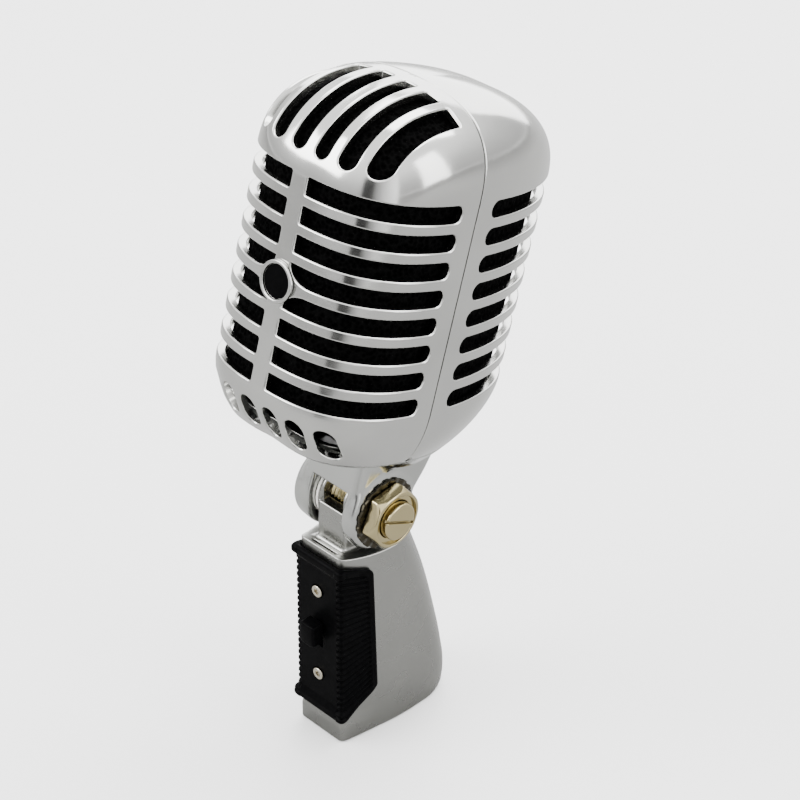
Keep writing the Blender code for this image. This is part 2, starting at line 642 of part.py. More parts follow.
def build_cover(plastic):
    """Ribbed plastic cover around the front of the base; its ribs stop at a plain panel in the middle."""
    levels = [0, 0.018]
    for k in range(RIB_COUNT):
        low = 0.035 + 0.93 * k / RIB_COUNT
        levels += [low + 0.005, low + 0.93 / RIB_COUNT * 0.55]
    levels += [0.982, 1]
    points, faces = [], []
    half = len(cover_path(0))
    for index, level in enumerate(levels):
        edge = index < 2 or index >= len(levels) - 2
        rib = COVER_RIB if edge or index % 2 == 0 else 0
        outer, inner = cover_path(COVER_SKIN), cover_path(GAP)
        for k in range(half):
            if 0 < k < half - 2:
                outer[k] = cover_path(COVER_SKIN + rib - COVER_RIB * 0.4)[k]
        outer[0] = cover_path(COVER_SKIN + 0.4)[0]
        loop = outer + [(-x, y) for x, y in reversed(outer)] + [(-x, y) for x, y in inner] + inner[::-1]
        for x, y in loop:
            back = (y - BASE_FRONT) / (COVER_BACK - BASE_FRONT)
            low, high = (at[0] + (at[1] - at[0]) * max(0, back) for at in (COVER_FOOT, COVER_TOP))
            points.append((x, y, low + (high - low) * level))
    n = 4 * half
    faces = [tuple(range(n)), tuple(range(len(points) - n, len(points)))]
    for k in range(len(levels) - 1):
        faces += [(k * n + i, k * n + (i + 1) % n, (k + 1) * n + (i + 1) % n, (k + 1) * n + i) for i in range(n)]
    cover = solid("switch_cover", points, faces, plastic)
    travel = (KNOB_Z - KNOB_TRAVEL - 2.2, KNOB_Z + 2.2)
    cut(cover, "knob_slot", box((-1.7, 1.7), (BASE_FRONT - 5, BASE_FRONT + 3), travel))
    for k, z in enumerate(SCREW_Z):
        cut(cover, f"cover_hole_{k}", rod(1.15, BASE_FRONT - 5, BASE_FRONT + 3, axis="Y", centre=(0, z), sides=14))
        cut(cover, f"cover_seat_{k}", rod(2.1, BASE_FRONT - 5, BASE_FRONT - COVER_SKIN + 0.6, axis="Y", centre=(0, z), sides=18))


def build_switch(plastic, steel, nickel):
    front = BASE_FRONT - COVER_SKIN
    knob = solid("switch_knob", *box((-2.4, 2.4), (front - 4.1, front - 0.25), (KNOB_Z - 3.2, KNOB_Z + 3.2)), plastic)
    join(knob, "knob_stem", box((-1.3, 1.3), (front - 1, BASE_FRONT + 1.4), (KNOB_Z - 1.8, KNOB_Z + 1.8)))
    middle = KNOB_Z - KNOB_TRAVEL / 2
    solid("switch_body", *box((-4.2, 4.2), (BASE_FRONT + 1.8, BASE_FRONT + 8), (middle - 7.5, middle + 7.5)), steel)
    for name, z in zip(("cover_screw_upper", "cover_screw_lower"), SCREW_Z):
        shape = [(0, front - 0.4), (1.3, front - 0.4), (1.8, front), (1.8, front + 0.4), (0.9, front + 0.4),
                 (0.9, BASE_FRONT + 4.5), (0, BASE_FRONT + 4.5)]
        screw = solid(name, *revolve(shape, axis="Y", centre=(0, z), sides=20), nickel)
        cut(screw, f"{name}_drive", prism([(0.8 * math.cos(math.radians(60 * k)), z + 0.8 * math.sin(math.radians(60 * k)))
                                           for k in range(6)], front - 3, front + 0.2, "Y"))


def build_connections(plastic, nickel, brass, steel):
    """Three-pin socket in the back and the threaded stand insert underneath."""
    where = {"axis": "Y"}
    insert = solid("socket_insert", *rod(SOCKET_RADIUS - GAP, -2.2, 2.8, centre=(0, SOCKET_Z), sides=32, **where), plastic)
    for k, angle in enumerate((30, 150, 270)):
        centre = (4.1 * math.cos(math.radians(angle)), SOCKET_Z + 4.1 * math.sin(math.radians(angle)))
        cut(insert, f"pin_hole_{k + 1}", rod(1.45, -9, 9, centre=centre, sides=16, **where))
        shape = [(0, -5.5), (1.2, -5.5), (1.2, 11.9), (0.7, 12.5), (0, 12.5)]
        solid(f"socket_pin_{k + 1}", *revolve(shape, centre=centre, sides=16, **where), nickel)
    solid("socket_set_screw", *rod(1.25, -11.2, -8.2, axis="X", centre=(0, SOCKET_Z), sides=14), steel)
    solid("stand_insert", *ring(THREAD_RADIUS, INSERT_RADIUS, 0.1, INSERT_HEIGHT, axis="Z", sides=36), brass)


def build_bracket_screw(head, steel):
    """Screw that holds the capsule's bracket on the yoke."""
    foot = TOP_FROM_PIVOT_Z - 72.7 + 1.5
    shape = [(0, foot - 6), (1.2, foot - 6), (1.2, foot + 0.15), (2.6, foot + 0.15), (2.2, foot + 1.7), (0, foot + 1.7)]
    solid("bracket_screw", *revolve(shape, axis="Z", centre=(0, BRACKET_SCREW_Y), sides=16), steel, head)


def main():
    for obj in list(bpy.data.objects):
        bpy.data.objects.remove(obj)
    chrome = material("satin_chrome", (0.62, 0.62, 0.6), 0.22, 1)
    cast = material("satin_cast", (0.5, 0.5, 0.48), 0.34, 1)
    champagne = material("champagne_nickel", (0.66, 0.6, 0.42), 0.25, 1)
    steel = material("plain_steel", (0.42, 0.42, 0.43), 0.4, 1)
    dark_steel = material("dark_steel", (0.12, 0.12, 0.12), 0.4, 1)
    nickel = material("nickel", (0.7, 0.66, 0.56), 0.25, 1)
    brass = material("brass", (0.72, 0.55, 0.27), 0.35, 1)
    magnet_look = material("magnet_grey", (0.25, 0.25, 0.27), 0.45, 1)
    copper = material("copper", (0.72, 0.36, 0.2), 0.35, 1)
    plastic = material("black_plastic", (0.012, 0.012, 0.013), 0.5, 0)
    gloss = material("black_enamel", (0.01, 0.01, 0.011), 0.3, 0)
    foam = material("black_foam", (0.006, 0.006, 0.006), 0.95, 0)
    rubber = material("rubber", (0.02, 0.02, 0.02), 0.8, 0)
    nylon = material("nylon", (0.75, 0.74, 0.7), 0.5, 0)
    film = material("clear_film", (0.6, 0.6, 0.55), 0.3, 0)

    head = bpy.data.objects.new("head_pivot", None)
    head.location = (0, PIVOT_Y * MM, PIVOT_Z * MM)
    head.rotation_euler = (-REST_TILT, 0, 0)
    bpy.context.scene.collection.objects.link(head)

    build_shells(head, chrome, foam)
    build_badge(head, chrome, gloss)
    build_yoke(head, chrome)
    build_pivot(head, champagne, dark_steel, nylon)
    build_capsule(head, steel, magnet_look, plastic, rubber, copper, film)
    build_bracket_screw(head, steel)
    build_base(cast)
    build_cover(plastic)
    build_switch(plastic, steel, nickel)
    build_connections(plastic, nickel, brass, steel)


main()
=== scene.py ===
"""Looks of the desktop microphone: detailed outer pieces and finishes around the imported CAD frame.

Shapes are in millimetres. The shells are drawn upright in the head's own frame, whose origin lies in the
seam plane at the top of the first slot. The yoke and its fasteners are drawn about the pivot axis, upright
with the head. Base pieces are drawn in the frame's own axes.
"""

import json
import math

import bpy
import numpy as np
from mathutils import Matrix, Vector
from mathutils.geometry import delaunay_2d_cdt


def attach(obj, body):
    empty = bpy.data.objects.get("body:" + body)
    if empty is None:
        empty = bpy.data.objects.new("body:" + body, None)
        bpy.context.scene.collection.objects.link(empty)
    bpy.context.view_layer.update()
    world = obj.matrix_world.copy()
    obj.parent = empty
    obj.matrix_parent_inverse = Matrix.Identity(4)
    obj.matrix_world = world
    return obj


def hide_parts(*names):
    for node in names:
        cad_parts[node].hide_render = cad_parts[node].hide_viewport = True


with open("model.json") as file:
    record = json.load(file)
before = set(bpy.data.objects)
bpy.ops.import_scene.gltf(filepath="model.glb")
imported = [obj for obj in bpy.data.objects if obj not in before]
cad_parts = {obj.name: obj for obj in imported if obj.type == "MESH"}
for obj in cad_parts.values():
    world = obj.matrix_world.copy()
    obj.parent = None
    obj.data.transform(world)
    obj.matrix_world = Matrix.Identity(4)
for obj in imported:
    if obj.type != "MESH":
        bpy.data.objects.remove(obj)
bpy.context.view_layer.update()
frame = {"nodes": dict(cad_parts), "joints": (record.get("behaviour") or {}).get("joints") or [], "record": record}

MM = 0.001
GAP = 0.3

# Head shell, up to 0.25 mm smaller than the CAD model's, so that its smooth surface stays inside the facets
HALF_WIDTH = 28.4
FRONT_DEPTH, FRONT_EXPONENT = 33.05, 2.85
REAR_DEPTH, REAR_EXPONENT = 48.75, 2.0
WALL = 2.0
# Start and reach of the dome and of the head's lower bowl, and the exponents of their sections
DOME_START, DOME_RISE, DOME_SIDE, DOME_ENDS = -1.0, 23.27, 2.75, 2.1
BOWL_START, BOWL_DROP, BOWL_SIDE, BOWL_ENDS = -55.7, 28.2, 2.0, 1.5
SHELL_BOTTOM = -70.0
SLOT_COUNT, SLOT_PITCH, SLOT_HEIGHT = 8, 7.17, 4.4
RIB_HALF = 2.6
SLOT_END_FROM_SEAM = 5.5
TOP_SLOTS = ((3.8, 4.4), (11.4, 4.9), (18.9, 5.2))  # centre and width
TOP_SLOT_FOOT, TOP_SLOT_END = 5.0, 5.2
ARCHES = ((3.9, 5.6), (11.7, 5.6), (19.2, 4.6))  # centre and width
ARCH_TOP, ARCH_FOOT = -59.5, -68.0
BADGE_Z, BADGE_RADIUS, BADGE_RIM, BADGE_FILLET = -27.3, 4.2, 5.4, 6.9

# Yoke, tongue and fasteners on the pivot axis
EAR_RADIUS, EAR_INNER, EAR_OUTER, EAR_BOSS, EAR_LEFT = 11.1, 6.2, 10.0, 10.5, 12.4
TONGUE_RADIUS, TONGUE_HALF, WINDOW_FOOT = 9.1, 5.1, 74.8
SADDLE_RADIUS, SADDLE_BOTTOM = 40.0, 61.5
BOLT_RADIUS, BOLT_HEAD_RADIUS, BOLT_HEAD_HEIGHT = 5.3, 7.2, 2.2
NUT_FLATS, NUT_HEIGHT, NUT_TURN = 16.0, 4.0, 23.0
TONGUE_FOOT = 52.0
CABLE_BORE_Y, CABLE_BORE_RADIUS, BRACKET_SCREW_Y, BRACKET_SCREW_RADIUS = 4.0, 2.6, 11.0, 1.5
YOKE_WALL = 4.2
YOKE_UNDERCUT = 1.6  # how much steeper than the head the front of the yoke's bowl turns under
YOKE_LIP_DEPTH, YOKE_LIP_HALF = 4.75, 0.95  # the lip that reaches up inside the shells
LOCK_WASHER_RADIUS, LOCK_TEETH = 10.0, 18
THREAD_PITCH, THREAD_DEPTH = 1.25, 0.32
SLOT_SLOPE = 0.171  # lean of the screwdriver slot in the bolt's end

# Base and switch cover
BASE_FRONT, BASE_FRONT_HALF, BASE_SIDE_SWELL = -20.0, 7.7, 4.1
BASE_BACK_ROUND, BASE_PLAN_POWER = 10.5, 2.4
BASE_FLARE = 0.55  # how far the foot of the base's front part spreads
# Height, and how far back the base reaches there
BASE_REAR = ((0, 18.4), (1.2, 20.0), (4, 21.0), (9, 21.1), (16, 20.0), (31, 16.6), (47, 12.2), (63.4, 6.4))
SOCKET_Z, SOCKET_RADIUS = 27.0, 8.1
INSERT_RADIUS, INSERT_HEIGHT = 8.7, 11.0
SET_SCREW_RADIUS = 1.5
COVER_BACK, COVER_SKIN, COVER_RIB, RIB_COUNT = -10.2, 1.2, 0.5, 24
COVER_FOOT, COVER_TOP = (7.9, 15.4), (60.9, 57.2)  # heights at the front and at the back edge
COVER_RIM, COVER_LEAN = 0.6, 1.4  # raised rim, and how far the back edge leans over the cover's height
LIP_HEIGHT = 0.85
SCREW_Z, SCREW_BORE, SCREW_SEAT = (49.6, 20.9), 1.15, 2.1
SCREW_HEAD, SCREW_SHANK, SCREW_DRIVE = 1.8, 0.9, 0.8
KNOB_Z, KNOB_TRAVEL = 37.0, 4.0
KNOB_REACH, KNOB_HALF_WIDTH, KNOB_HALF_HEIGHT = 4.5, 2.6, 3.4

# Detail that only the looks need
RIM = 0.5  # rounding of the bars around each opening
RIM_STEPS = 5
SEAM_ROUND = 0.35  # rounding of the shells' edges at the seam and at the foot
SLOT_CORNER, TOP_SLOT_CORNER = 0.55, 0.6
SLOT_STATIONS = 26
SHELL_COLUMNS, SHELL_TIPS = 72, 30
QUARTER_TURN = [math.pi / 2 * k / 4 for k in range(5)]  # angles round a slot's small corner
FLAT_SCALE = 33.0  # depth of wall over which the flattened half-shell grows e-fold
SEAM_ROWS, SEAM_CLEAR = (0.0, 0.22, 0.38, 0.62), 1.2  # rows of points beside the seam, and where others start
FOAM_GAP, FOAM_BACK, FOAM_FOOT = 1.03, 3.4, -56.5  # faces of the foam inside the shell's outer skin

# The pivot of the head and the way the head stands on it
joints = {joint["name"]: joint for joint in frame["joints"]}
PIVOT = np.array(joints["head_tilt"]["pos_m"]) / MM
REST_TILT = math.radians(16.4)  # how far the head leans back at rest
HEAD_FROM_PIVOT = np.array((0, -12.9, 93.7))  # the head frame's origin from the pivot, upright with the head
HEAD_TURN = np.array(Matrix.Rotation(-REST_TILT, 3, "X"))


# -------------------- placing and meshes

def from_head(points):
    """Head-frame points in the frame's axes."""
    return (np.asarray(points, float) + HEAD_FROM_PIVOT) @ HEAD_TURN.T + PIVOT


def unit(vectors):
    return vectors / np.maximum(np.linalg.norm(vectors, axis=-1, keepdims=True), 1e-12)


def piece(node, points, faces, body, slot, normals=None, look=None):
    """A smooth mesh object riding on a body, in place of a CAD node."""
    name = f"{node}_shape"
    mesh = bpy.data.meshes.new(name)
    mesh.from_pydata((np.asarray(points) * MM).tolist(), [], [tuple(map(int, f)) for f in faces])
    mesh.materials.append(finishes[look or slot])
    mesh.shade_smooth()
    if normals is not None:
        mesh.normals_split_custom_set_from_vertices(normals.tolist())
    made = bpy.data.objects.new(name, mesh)
    bpy.context.scene.collection.objects.link(made)
    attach(made, body)
    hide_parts(node)
    return made


# -------------------- head surface, for arrays of points

def plan_of(front):
    return (FRONT_DEPTH, FRONT_EXPONENT) if front else (REAR_DEPTH, REAR_EXPONENT)


def plan_radius(a, front):
    """Distance from the head's axis to the wall at angle a from the side, at full width."""
    depth, m = plan_of(front)
    return (np.abs(np.cos(a) / HALF_WIDTH) ** m + np.abs(np.sin(a) / depth) ** m) ** (-1 / m)


def fullness(a, front, side, ends):
    """Exponent of the vertical section, which changes from the sides to the front and back."""
    r = plan_radius(a, front)
    across, along = np.abs(r * np.cos(a)) / HALF_WIDTH, np.abs(r * np.sin(a)) / plan_of(front)[0]
    w = along / (across + along)
    return side + (ends - side) * w * w * (3 - 2 * w)


def shrink_at(a, z, front):
    """How much of the full plan is left at height z."""
    dome, bowl = fullness(a, front, DOME_SIDE, DOME_ENDS), fullness(a, front, BOWL_SIDE, BOWL_ENDS)
    up = np.clip((z - DOME_START) / DOME_RISE, 0, 1)
    down = np.clip((BOWL_START - z) / BOWL_DROP, 0, 1)
    return np.maximum(0, 1 - up**dome) ** (1 / dome) * np.maximum(0, 1 - down**bowl) ** (1 / bowl)


def around(a, r, z, front):
    return np.stack([r * np.cos(a), (-1 if front else 1) * r * np.sin(a), z], -1)


def surface_at(a, z, front):
    a, z = np.broadcast_arrays(np.asarray(a, float), np.asarray(z, float))
    return around(a, plan_radius(a, front) * shrink_at(a, z, front), z, front)


def dome_point(a, tip, front):
    """Points of the dome at elevation `tip`, from 0 at its foot to a right angle at the top."""
    a, tip = np.broadcast_arrays(np.asarray(a, float), np.asarray(tip, float))
    n = fullness(a, front, DOME_SIDE, DOME_ENDS)
    q = (np.cos(tip) ** n + np.sin(tip) ** n) ** (-1 / n)
    r, z = plan_radius(a, front) * q * np.cos(tip), DOME_START + DOME_RISE * q * np.sin(tip)
    return around(a, r, z, front)


def dome_over(x, y, front):
    """Points of the dome above (x, y)."""
    x, y = np.broadcast_arrays(np.asarray(x, float), np.asarray(y, float))
    a = np.arctan2(np.abs(y), x)
    n = fullness(a, front, DOME_SIDE, DOME_ENDS)
    rho = np.clip(np.hypot(x, y) / plan_radius(a, front), 0, 1)
    return np.stack([x, y, DOME_START + DOME_RISE * (1 - rho**n) ** (1 / n)], -1)


def level(points, front):
    """1 on the head's surface, less inside."""
    x, y, z = np.moveaxis(points, -1, 0)
    a = np.arctan2(np.abs(y), x)
    rho = np.hypot(x, y) / plan_radius(a, front)
    dome, bowl = fullness(a, front, DOME_SIDE, DOME_ENDS), fullness(a, front, BOWL_SIDE, BOWL_ENDS)
    up, down = np.maximum(0, z - DOME_START) / DOME_RISE, np.maximum(0, BOWL_START - z) / BOWL_DROP
    n = np.where(z > DOME_START, dome, bowl)
    return (rho**n + np.where(z > DOME_START, up, down) ** n) ** (1 / n)


def outward(points, front, step=0.02):
    """Unit normals of the head surface."""
    points = np.asarray(points, float)
    steps = step * np.eye(3)
    slope = np.stack([level(points + e, front) - level(points - e, front) for e in steps], -1)
    slope[..., 1] = np.where(np.abs(points[..., 1]) < 1.5 * step, 0, slope[..., 1])
    return unit(slope)


def bisect(wanted, low, high):
    """Where a test that is true at `low` turns false on the way to `high`."""
    for _ in range(40):
        middle = (low + high) / 2
        low, high = (middle, high) if wanted(middle) else (low, middle)
    return (low + high) / 2


def angle_at_x(x, z, front):
    return bisect(lambda a: surface_at(a, z, front)[0] > x, 0.0, math.pi)


def angle_at_y(y, front):
    return bisect(lambda a: abs(surface_at(a, DOME_START, front)[1]) < y, 0.0, math.pi / 2)


def front_point(x, z):
    """Point of the front shell seen at (x, z) from straight ahead."""
    return surface_at(angle_at_x(x, z, True), z, True)


def picture_of(points, front):
    """A half-shell in a plane: polar about the top of the dome, stretched so that angles are roughly kept."""
    x, y, z = np.moveaxis(np.asarray(points, float), -1, 0)
    a = np.arctan2(np.abs(y), x)
    rho = np.minimum(1, np.hypot(x, y) / plan_radius(a, front))
    over_dome = np.tan(0.5 * np.arctan2(rho, np.maximum(z - DOME_START, 0) / DOME_RISE))
    reach = np.where(z >= DOME_START, over_dome, np.exp((DOME_START - z) / FLAT_SCALE))
    return np.stack([reach * np.cos(a), -reach * np.sin(a)], -1)


# -------------------- openings of the shells

def slot_outline(index, front):
    """A horizontal slot: small corner radii at the rib, a round end near the seam."""
    top = -SLOT_PITCH * index
    foot = top - SLOT_HEIGHT
    middle, r, corner = (top + foot) / 2, SLOT_HEIGHT / 2, SLOT_CORNER
    near = angle_at_x(RIB_HALF, middle, front)
    inner = angle_at_x(RIB_HALF + corner, middle, front)
    far, end = angle_at_y(SLOT_END_FROM_SEAM, front), angle_at_y(SLOT_END_FROM_SEAM + r, front)
    stations = np.linspace(inner, end, SLOT_STATIONS)
    lower, upper = [(a, foot) for a in stations], [(a, top) for a in stations[::-1]]
    start = [(inner + (near - inner) * math.sin(t), foot + corner * (1 - math.cos(t)))
             for t in QUARTER_TURN][:0:-1]
    finish = [(inner + (near - inner) * math.cos(t), top - corner * (1 - math.sin(t)))
              for t in QUARTER_TURN][-2::-1]
    round_end = [(end + (far - end) * math.sin(b), middle - r * math.cos(b))
                 for b in np.linspace(0, math.pi, 13)[1:-1]]
    if front and index in (3, 4):  # cut back around the badge
        reach = angle_at_x(RIB_HALF + BADGE_FILLET, middle, front)
        bends = np.radians(np.linspace(8, 90, 12))
        curve = [(near + (reach - near) * (1 - math.cos(b)), 2 * r * math.sin(b)) for b in bends]
        beyond = [a for a in stations if a < reach - 0.03]
        if index == 3:
            start = []
            lower = [(a, top - d) for a, d in curve] + [(a, foot) for a in beyond]
            finish = [(near, top)]
        else:
            finish = []
            upper = [(a, top) for a in beyond[::-1]] + [(a, foot + d) for a, d in curve[::-1]]
            start = [(near, foot)]
            lower = [(a, foot) for a in stations[1:]]
    a, z = np.array(start + lower + round_end + upper + finish).T
    return surface_at(a, z, front)


def top_slot_outline(centre, width):
    """A slot over the dome: straight in front view, rounded at its foot and square behind."""
    r, corner = width / 2, TOP_SLOT_CORNER
    foot = TOP_SLOT_FOOT + r
    points = [front_point(centre + r * math.sin(b), foot - r * math.cos(b))
              for b in np.linspace(-1.45, 1.45, 15)]
    for side, run in ((1, 1), (-1, -1)):
        x = centre + side * r
        start = front_point(x, foot)[1]
        steps = np.linspace(0.04, 1, 22) ** 1.3
        ys = start + (-TOP_SLOT_END - corner - start) * steps
        edge = list(dome_over(x, ys, True))
        bend = [dome_over(x - side * corner * (1 - math.cos(t)), -TOP_SLOT_END - corner * (1 - math.sin(t)),
                          True) for t in QUARTER_TURN[1:]]
        points += (edge + bend)[::run]
    return np.array(points)


def arch_outline(centre, width):
    r = width / 2
    ends = [(ARCH_TOP - r, a) for a in np.linspace(0, math.pi, 13)]
    ends += [(ARCH_FOOT + r, a) for a in np.linspace(math.pi, 2 * math.pi, 13)]
    return np.array([front_point(centre + r * math.cos(a), z + r * math.sin(a)) for z, a in ends])


def openings(front):
    """Outlines of a half-shell's openings, the right half and its mirror image."""
    loops = [slot_outline(i, front) for i in range(SLOT_COUNT)]
    if front:
        loops += [top_slot_outline(c, w) for c, w in TOP_SLOTS] + [arch_outline(c, w) for c, w in ARCHES]
    return loops + [loop[::-1] * (-1, 1, 1) for loop in loops]


def inside(points, loop):
    """Which plane points lie inside a closed loop."""
    x, y = points[:, 0:1], points[:, 1:2]
    x1, y1 = loop.T
    x2, y2 = np.roll(loop, -1, 0).T
    crosses = ((y1 > y) != (y2 > y)) & (x < x1 + (y - y1) * (x2 - x1) / np.where(y1 == y2, 1, y2 - y1))
    return crosses.sum(1) % 2 == 1


# -------------------- shells

def even_spacing(loop, spacing):
    """The loop with points closer than `spacing` dropped."""
    kept = [loop[0]]
    for p in loop[1:]:
        if np.linalg.norm(p - kept[-1]) > spacing:
            kept.append(p)
    return np.array(kept if np.linalg.norm(kept[-1] - kept[0]) > spacing else kept[:-1])


def away_from_opening(loop, front):
    """For each point of an outline, the surface direction that leads away from the opening, mitred."""
    normals = outward(loop, front)
    before, after = unit(loop - np.roll(loop, 1, 0)), unit(np.roll(loop, -1, 0) - loop)
    tangent = unit(before + after)
    side = np.cross(normals, tangent)
    flat = picture_of(loop, front)
    area = (flat[:, 0] * np.roll(flat[:, 1], -1) - np.roll(flat[:, 0], -1) * flat[:, 1]).sum()
    probe = picture_of(loop + 0.05 * side, front)
    heading = np.roll(flat, -1, 0) - np.roll(flat, 1, 0)
    turn = heading[:, 0] * (probe - flat)[:, 1] - heading[:, 1] * (probe - flat)[:, 0]
    side = side if (np.sign(turn).sum() * area) < 0 else -side
    mitre = 1 / np.maximum(np.sqrt((1 + (before * after).sum(1)) / 2), 0.75)
    return side, mitre[:, None]


def station(t, front):
    """Plan angle at parameter t of an ellipse, so that stations crowd where the plan curves most."""
    return np.arctan2(plan_of(front)[0] * np.sin(t), HALF_WIDTH * np.cos(t))


def seam_rows(front):
    """Rows of points along the seam."""
    sign = -1 if front else 1
    rows = []
    for y in SEAM_ROWS:
        tips = np.linspace(0, math.pi, 2 * SHELL_TIPS + 1)[1:-1]
        x = dome_point(0.0, np.minimum(tips, math.pi - tips), front)[:, 0]
        x = x * np.where(tips < math.pi / 2, 1, -1)
        rows.append(dome_over(x, sign * y, front))
        z = np.linspace(DOME_START, SHELL_BOTTOM, 40)
        r = HALF_WIDTH * shrink_at(0.0, z, front)
        a = np.arcsin(np.clip(y / r, 0, 1))
        rows += [surface_at(a, z, front), surface_at(math.pi - a, z, front)]
    return np.concatenate(rows)


def shell_grid(front):
    """Grid points of a half-shell: rows down the wall, rings over the dome, and rows beside its edges."""
    angles = station(np.linspace(0, math.pi, SHELL_COLUMNS + 1)[1:-1], front)
    tips = np.linspace(0, math.pi / 2, SHELL_TIPS + 1)[1:-1]
    heights = np.concatenate([np.linspace(DOME_START, BOWL_START, 28),
                              np.linspace(BOWL_START, SHELL_BOTTOM, 12)[1:],
                              SHELL_BOTTOM + np.array((0.15, 0.3, 0.5))])
    grid = np.concatenate([dome_point(*np.meshgrid(angles, tips), front).reshape(-1, 3),
                           surface_at(*np.meshgrid(angles, heights), front).reshape(-1, 3)])
    return np.concatenate([grid[np.abs(grid[:, 1]) > SEAM_CLEAR], seam_rows(front)])


def edge_rounding(points, front):
    """How deep each point of the outer skin sinks beside the seam and the foot, and its normal there."""
    normals = outward(points, front)
    sign = -1 if front else 1
    depth, bend = np.zeros(len(points)), np.zeros_like(points)
    for distance, towards in ((np.abs(points[:, 1]) - GAP / 2, (0, -sign, 0)),
                              (points[:, 2] - SHELL_BOTTOM, (0, 0, -1))):
        t = np.clip(distance / SEAM_ROUND, 0, 1)
        fall = 1 - t
        depth = np.maximum(depth, SEAM_ROUND * (1 - np.sqrt(1 - fall**2)))
        bend += fall[:, None] * np.array(towards)
    flat = np.sqrt(np.clip(1 - (bend**2).sum(1, keepdims=True), 0, 1))
    return depth, unit(normals * flat + bend)


def ring_walls(first, second):
    """Quads between two closed rings of point numbers."""
    return list(zip(first, np.roll(first, -1), np.roll(second, -1), second))


def rims(front):
    """For each opening, the rings that round its rim: points, how deep they sink, phase and side."""
    made = []
    for loop in openings(front):
        loop = even_spacing(loop, 0.12)
        side, mitre = away_from_opening(loop, front)
        made.append([(loop + side * mitre * RIM * (1 - math.sin(t)), RIM * (1 - math.cos(t)), t, side)
                     for t in np.linspace(0, math.pi / 2, RIM_STEPS + 1)])
    return made


def clear_grid(front, pictures, edged):
    """Grid points outside the openings and not too near their rims, and where they lie in the plane."""
    grid = shell_grid(front)
    flat = picture_of(grid, front)
    keep = np.ones(len(grid), bool)
    for picture in pictures:
        keep &= ~inside(flat, picture)
    for start in range(0, len(grid), 500):
        chunk = slice(start, start + 500)
        near = np.linalg.norm(grid[chunk, None] - edged[None], axis=2).min(1) < 0.45
        on_edge = (np.abs(grid[chunk, 1]) < 0.7) | (grid[chunk, 2] < SHELL_BOTTOM + 0.6)
        keep[chunk] &= ~near | on_edge
    return grid[keep], flat[keep]


def sheet_triangles(plane, pictures):
    """Triangles over points of the plane, the first of which are the outlines of the openings."""
    edges, start = [], 0
    for picture in pictures:
        n = len(picture)
        edges += [(start + k, start + (k + 1) % n) for k in range(n)]
        start += n
    triangles = np.array(delaunay_2d_cdt([Vector(p) for p in plane], edges, [], 0, 1e-9)[2])
    corner = plane[triangles]
    wanted = np.abs(np.cross(corner[:, 1] - corner[:, 0], corner[:, 2] - corner[:, 0])) > 1e-9
    for picture in pictures:
        wanted &= ~inside(corner.mean(1), picture)
    return triangles[wanted]


def open_edges(triangles):
    """Edges that only one triangle has."""
    used = {}
    for t in triangles:
        for k in range(3):
            edge = (int(t[k]), int(t[(k + 1) % 3]))
            key = (min(edge), max(edge))
            used[key] = None if key in used else edge
    return [edge for edge in used.values() if edge]


def half_shell(front):
    """Points, faces and normals of a half-shell whose openings have rounded rims."""
    rings = rims(front)
    pictures = [picture_of(ring[0][0], front) for ring in rings]
    edged = np.concatenate([ring[0][0] for ring in rings])
    grid, flat = clear_grid(front, pictures, edged)
    base = np.concatenate([edged, grid])
    triangles = sheet_triangles(np.concatenate([*pictures, flat]), pictures)
    depth, normals = edge_rounding(base, front)
    plain = outward(base, front)
    outer, inner = base - plain * depth[:, None], base - plain * WALL
    for layer in (outer, inner):
        layer[:, 1] = np.minimum(layer[:, 1], -GAP / 2) if front else np.maximum(layer[:, 1], GAP / 2)
    n = len(base)
    points, faces = [outer, inner], [triangles, triangles[:, ::-1] + n]
    walls = [(b, a, n + a, n + b) for a, b in open_edges(triangles) if a >= len(edged) or b >= len(edged)]
    all_normals = [normals, -plain]
    count, start = 2 * n, 0
    for ring in rings:
        size = len(ring[0][0])
        loop_out = np.arange(start, start + size)
        previous = loop_out
        for moved, sunk, phase, side in ring[1:]:
            facing = outward(moved, front)
            points.append(moved - facing * sunk)
            all_normals.append(unit(facing * math.cos(phase) - side * math.sin(phase)))
            current = np.arange(count, count + size)
            walls += ring_walls(previous, current)
            previous, count = current, count + size
        moved, _, _, side = ring[-1]
        points.append(moved - outward(moved, front) * WALL)
        all_normals.append(-side)
        current = np.arange(count, count + size)
        walls += ring_walls(previous, current) + ring_walls(current, loop_out + n)
        start, count = start + size, count + size
    return np.concatenate(points), [*np.concatenate(faces).tolist(), *walls], np.concatenate(all_normals)


def compacted(points, faces, normals):
    """Without the points that no face uses, and with the faces all turned the way the normals point."""
    used = np.unique(np.concatenate([np.asarray(f) for f in faces]))
    place = np.full(len(points), -1)
    place[used] = np.arange(len(used))
    points, normals = points[used], normals[used]
    turned = []
    for face in faces:
        f = place[np.asarray(face)]
        a, b, c = points[f[:3]]
        flip = np.cross(b - a, c - a) @ normals[f].sum(0) < 0
        turned.append(f[::-1] if flip else f)
    return points, turned, normals


def build_shells():
    for node, front in (("front_grille", True), ("rear_grille", False)):
        points, faces, normals = compacted(*half_shell(front))
        piece(node, from_head(points), faces, "head", "satin_chrome", normals @ HEAD_TURN.T)


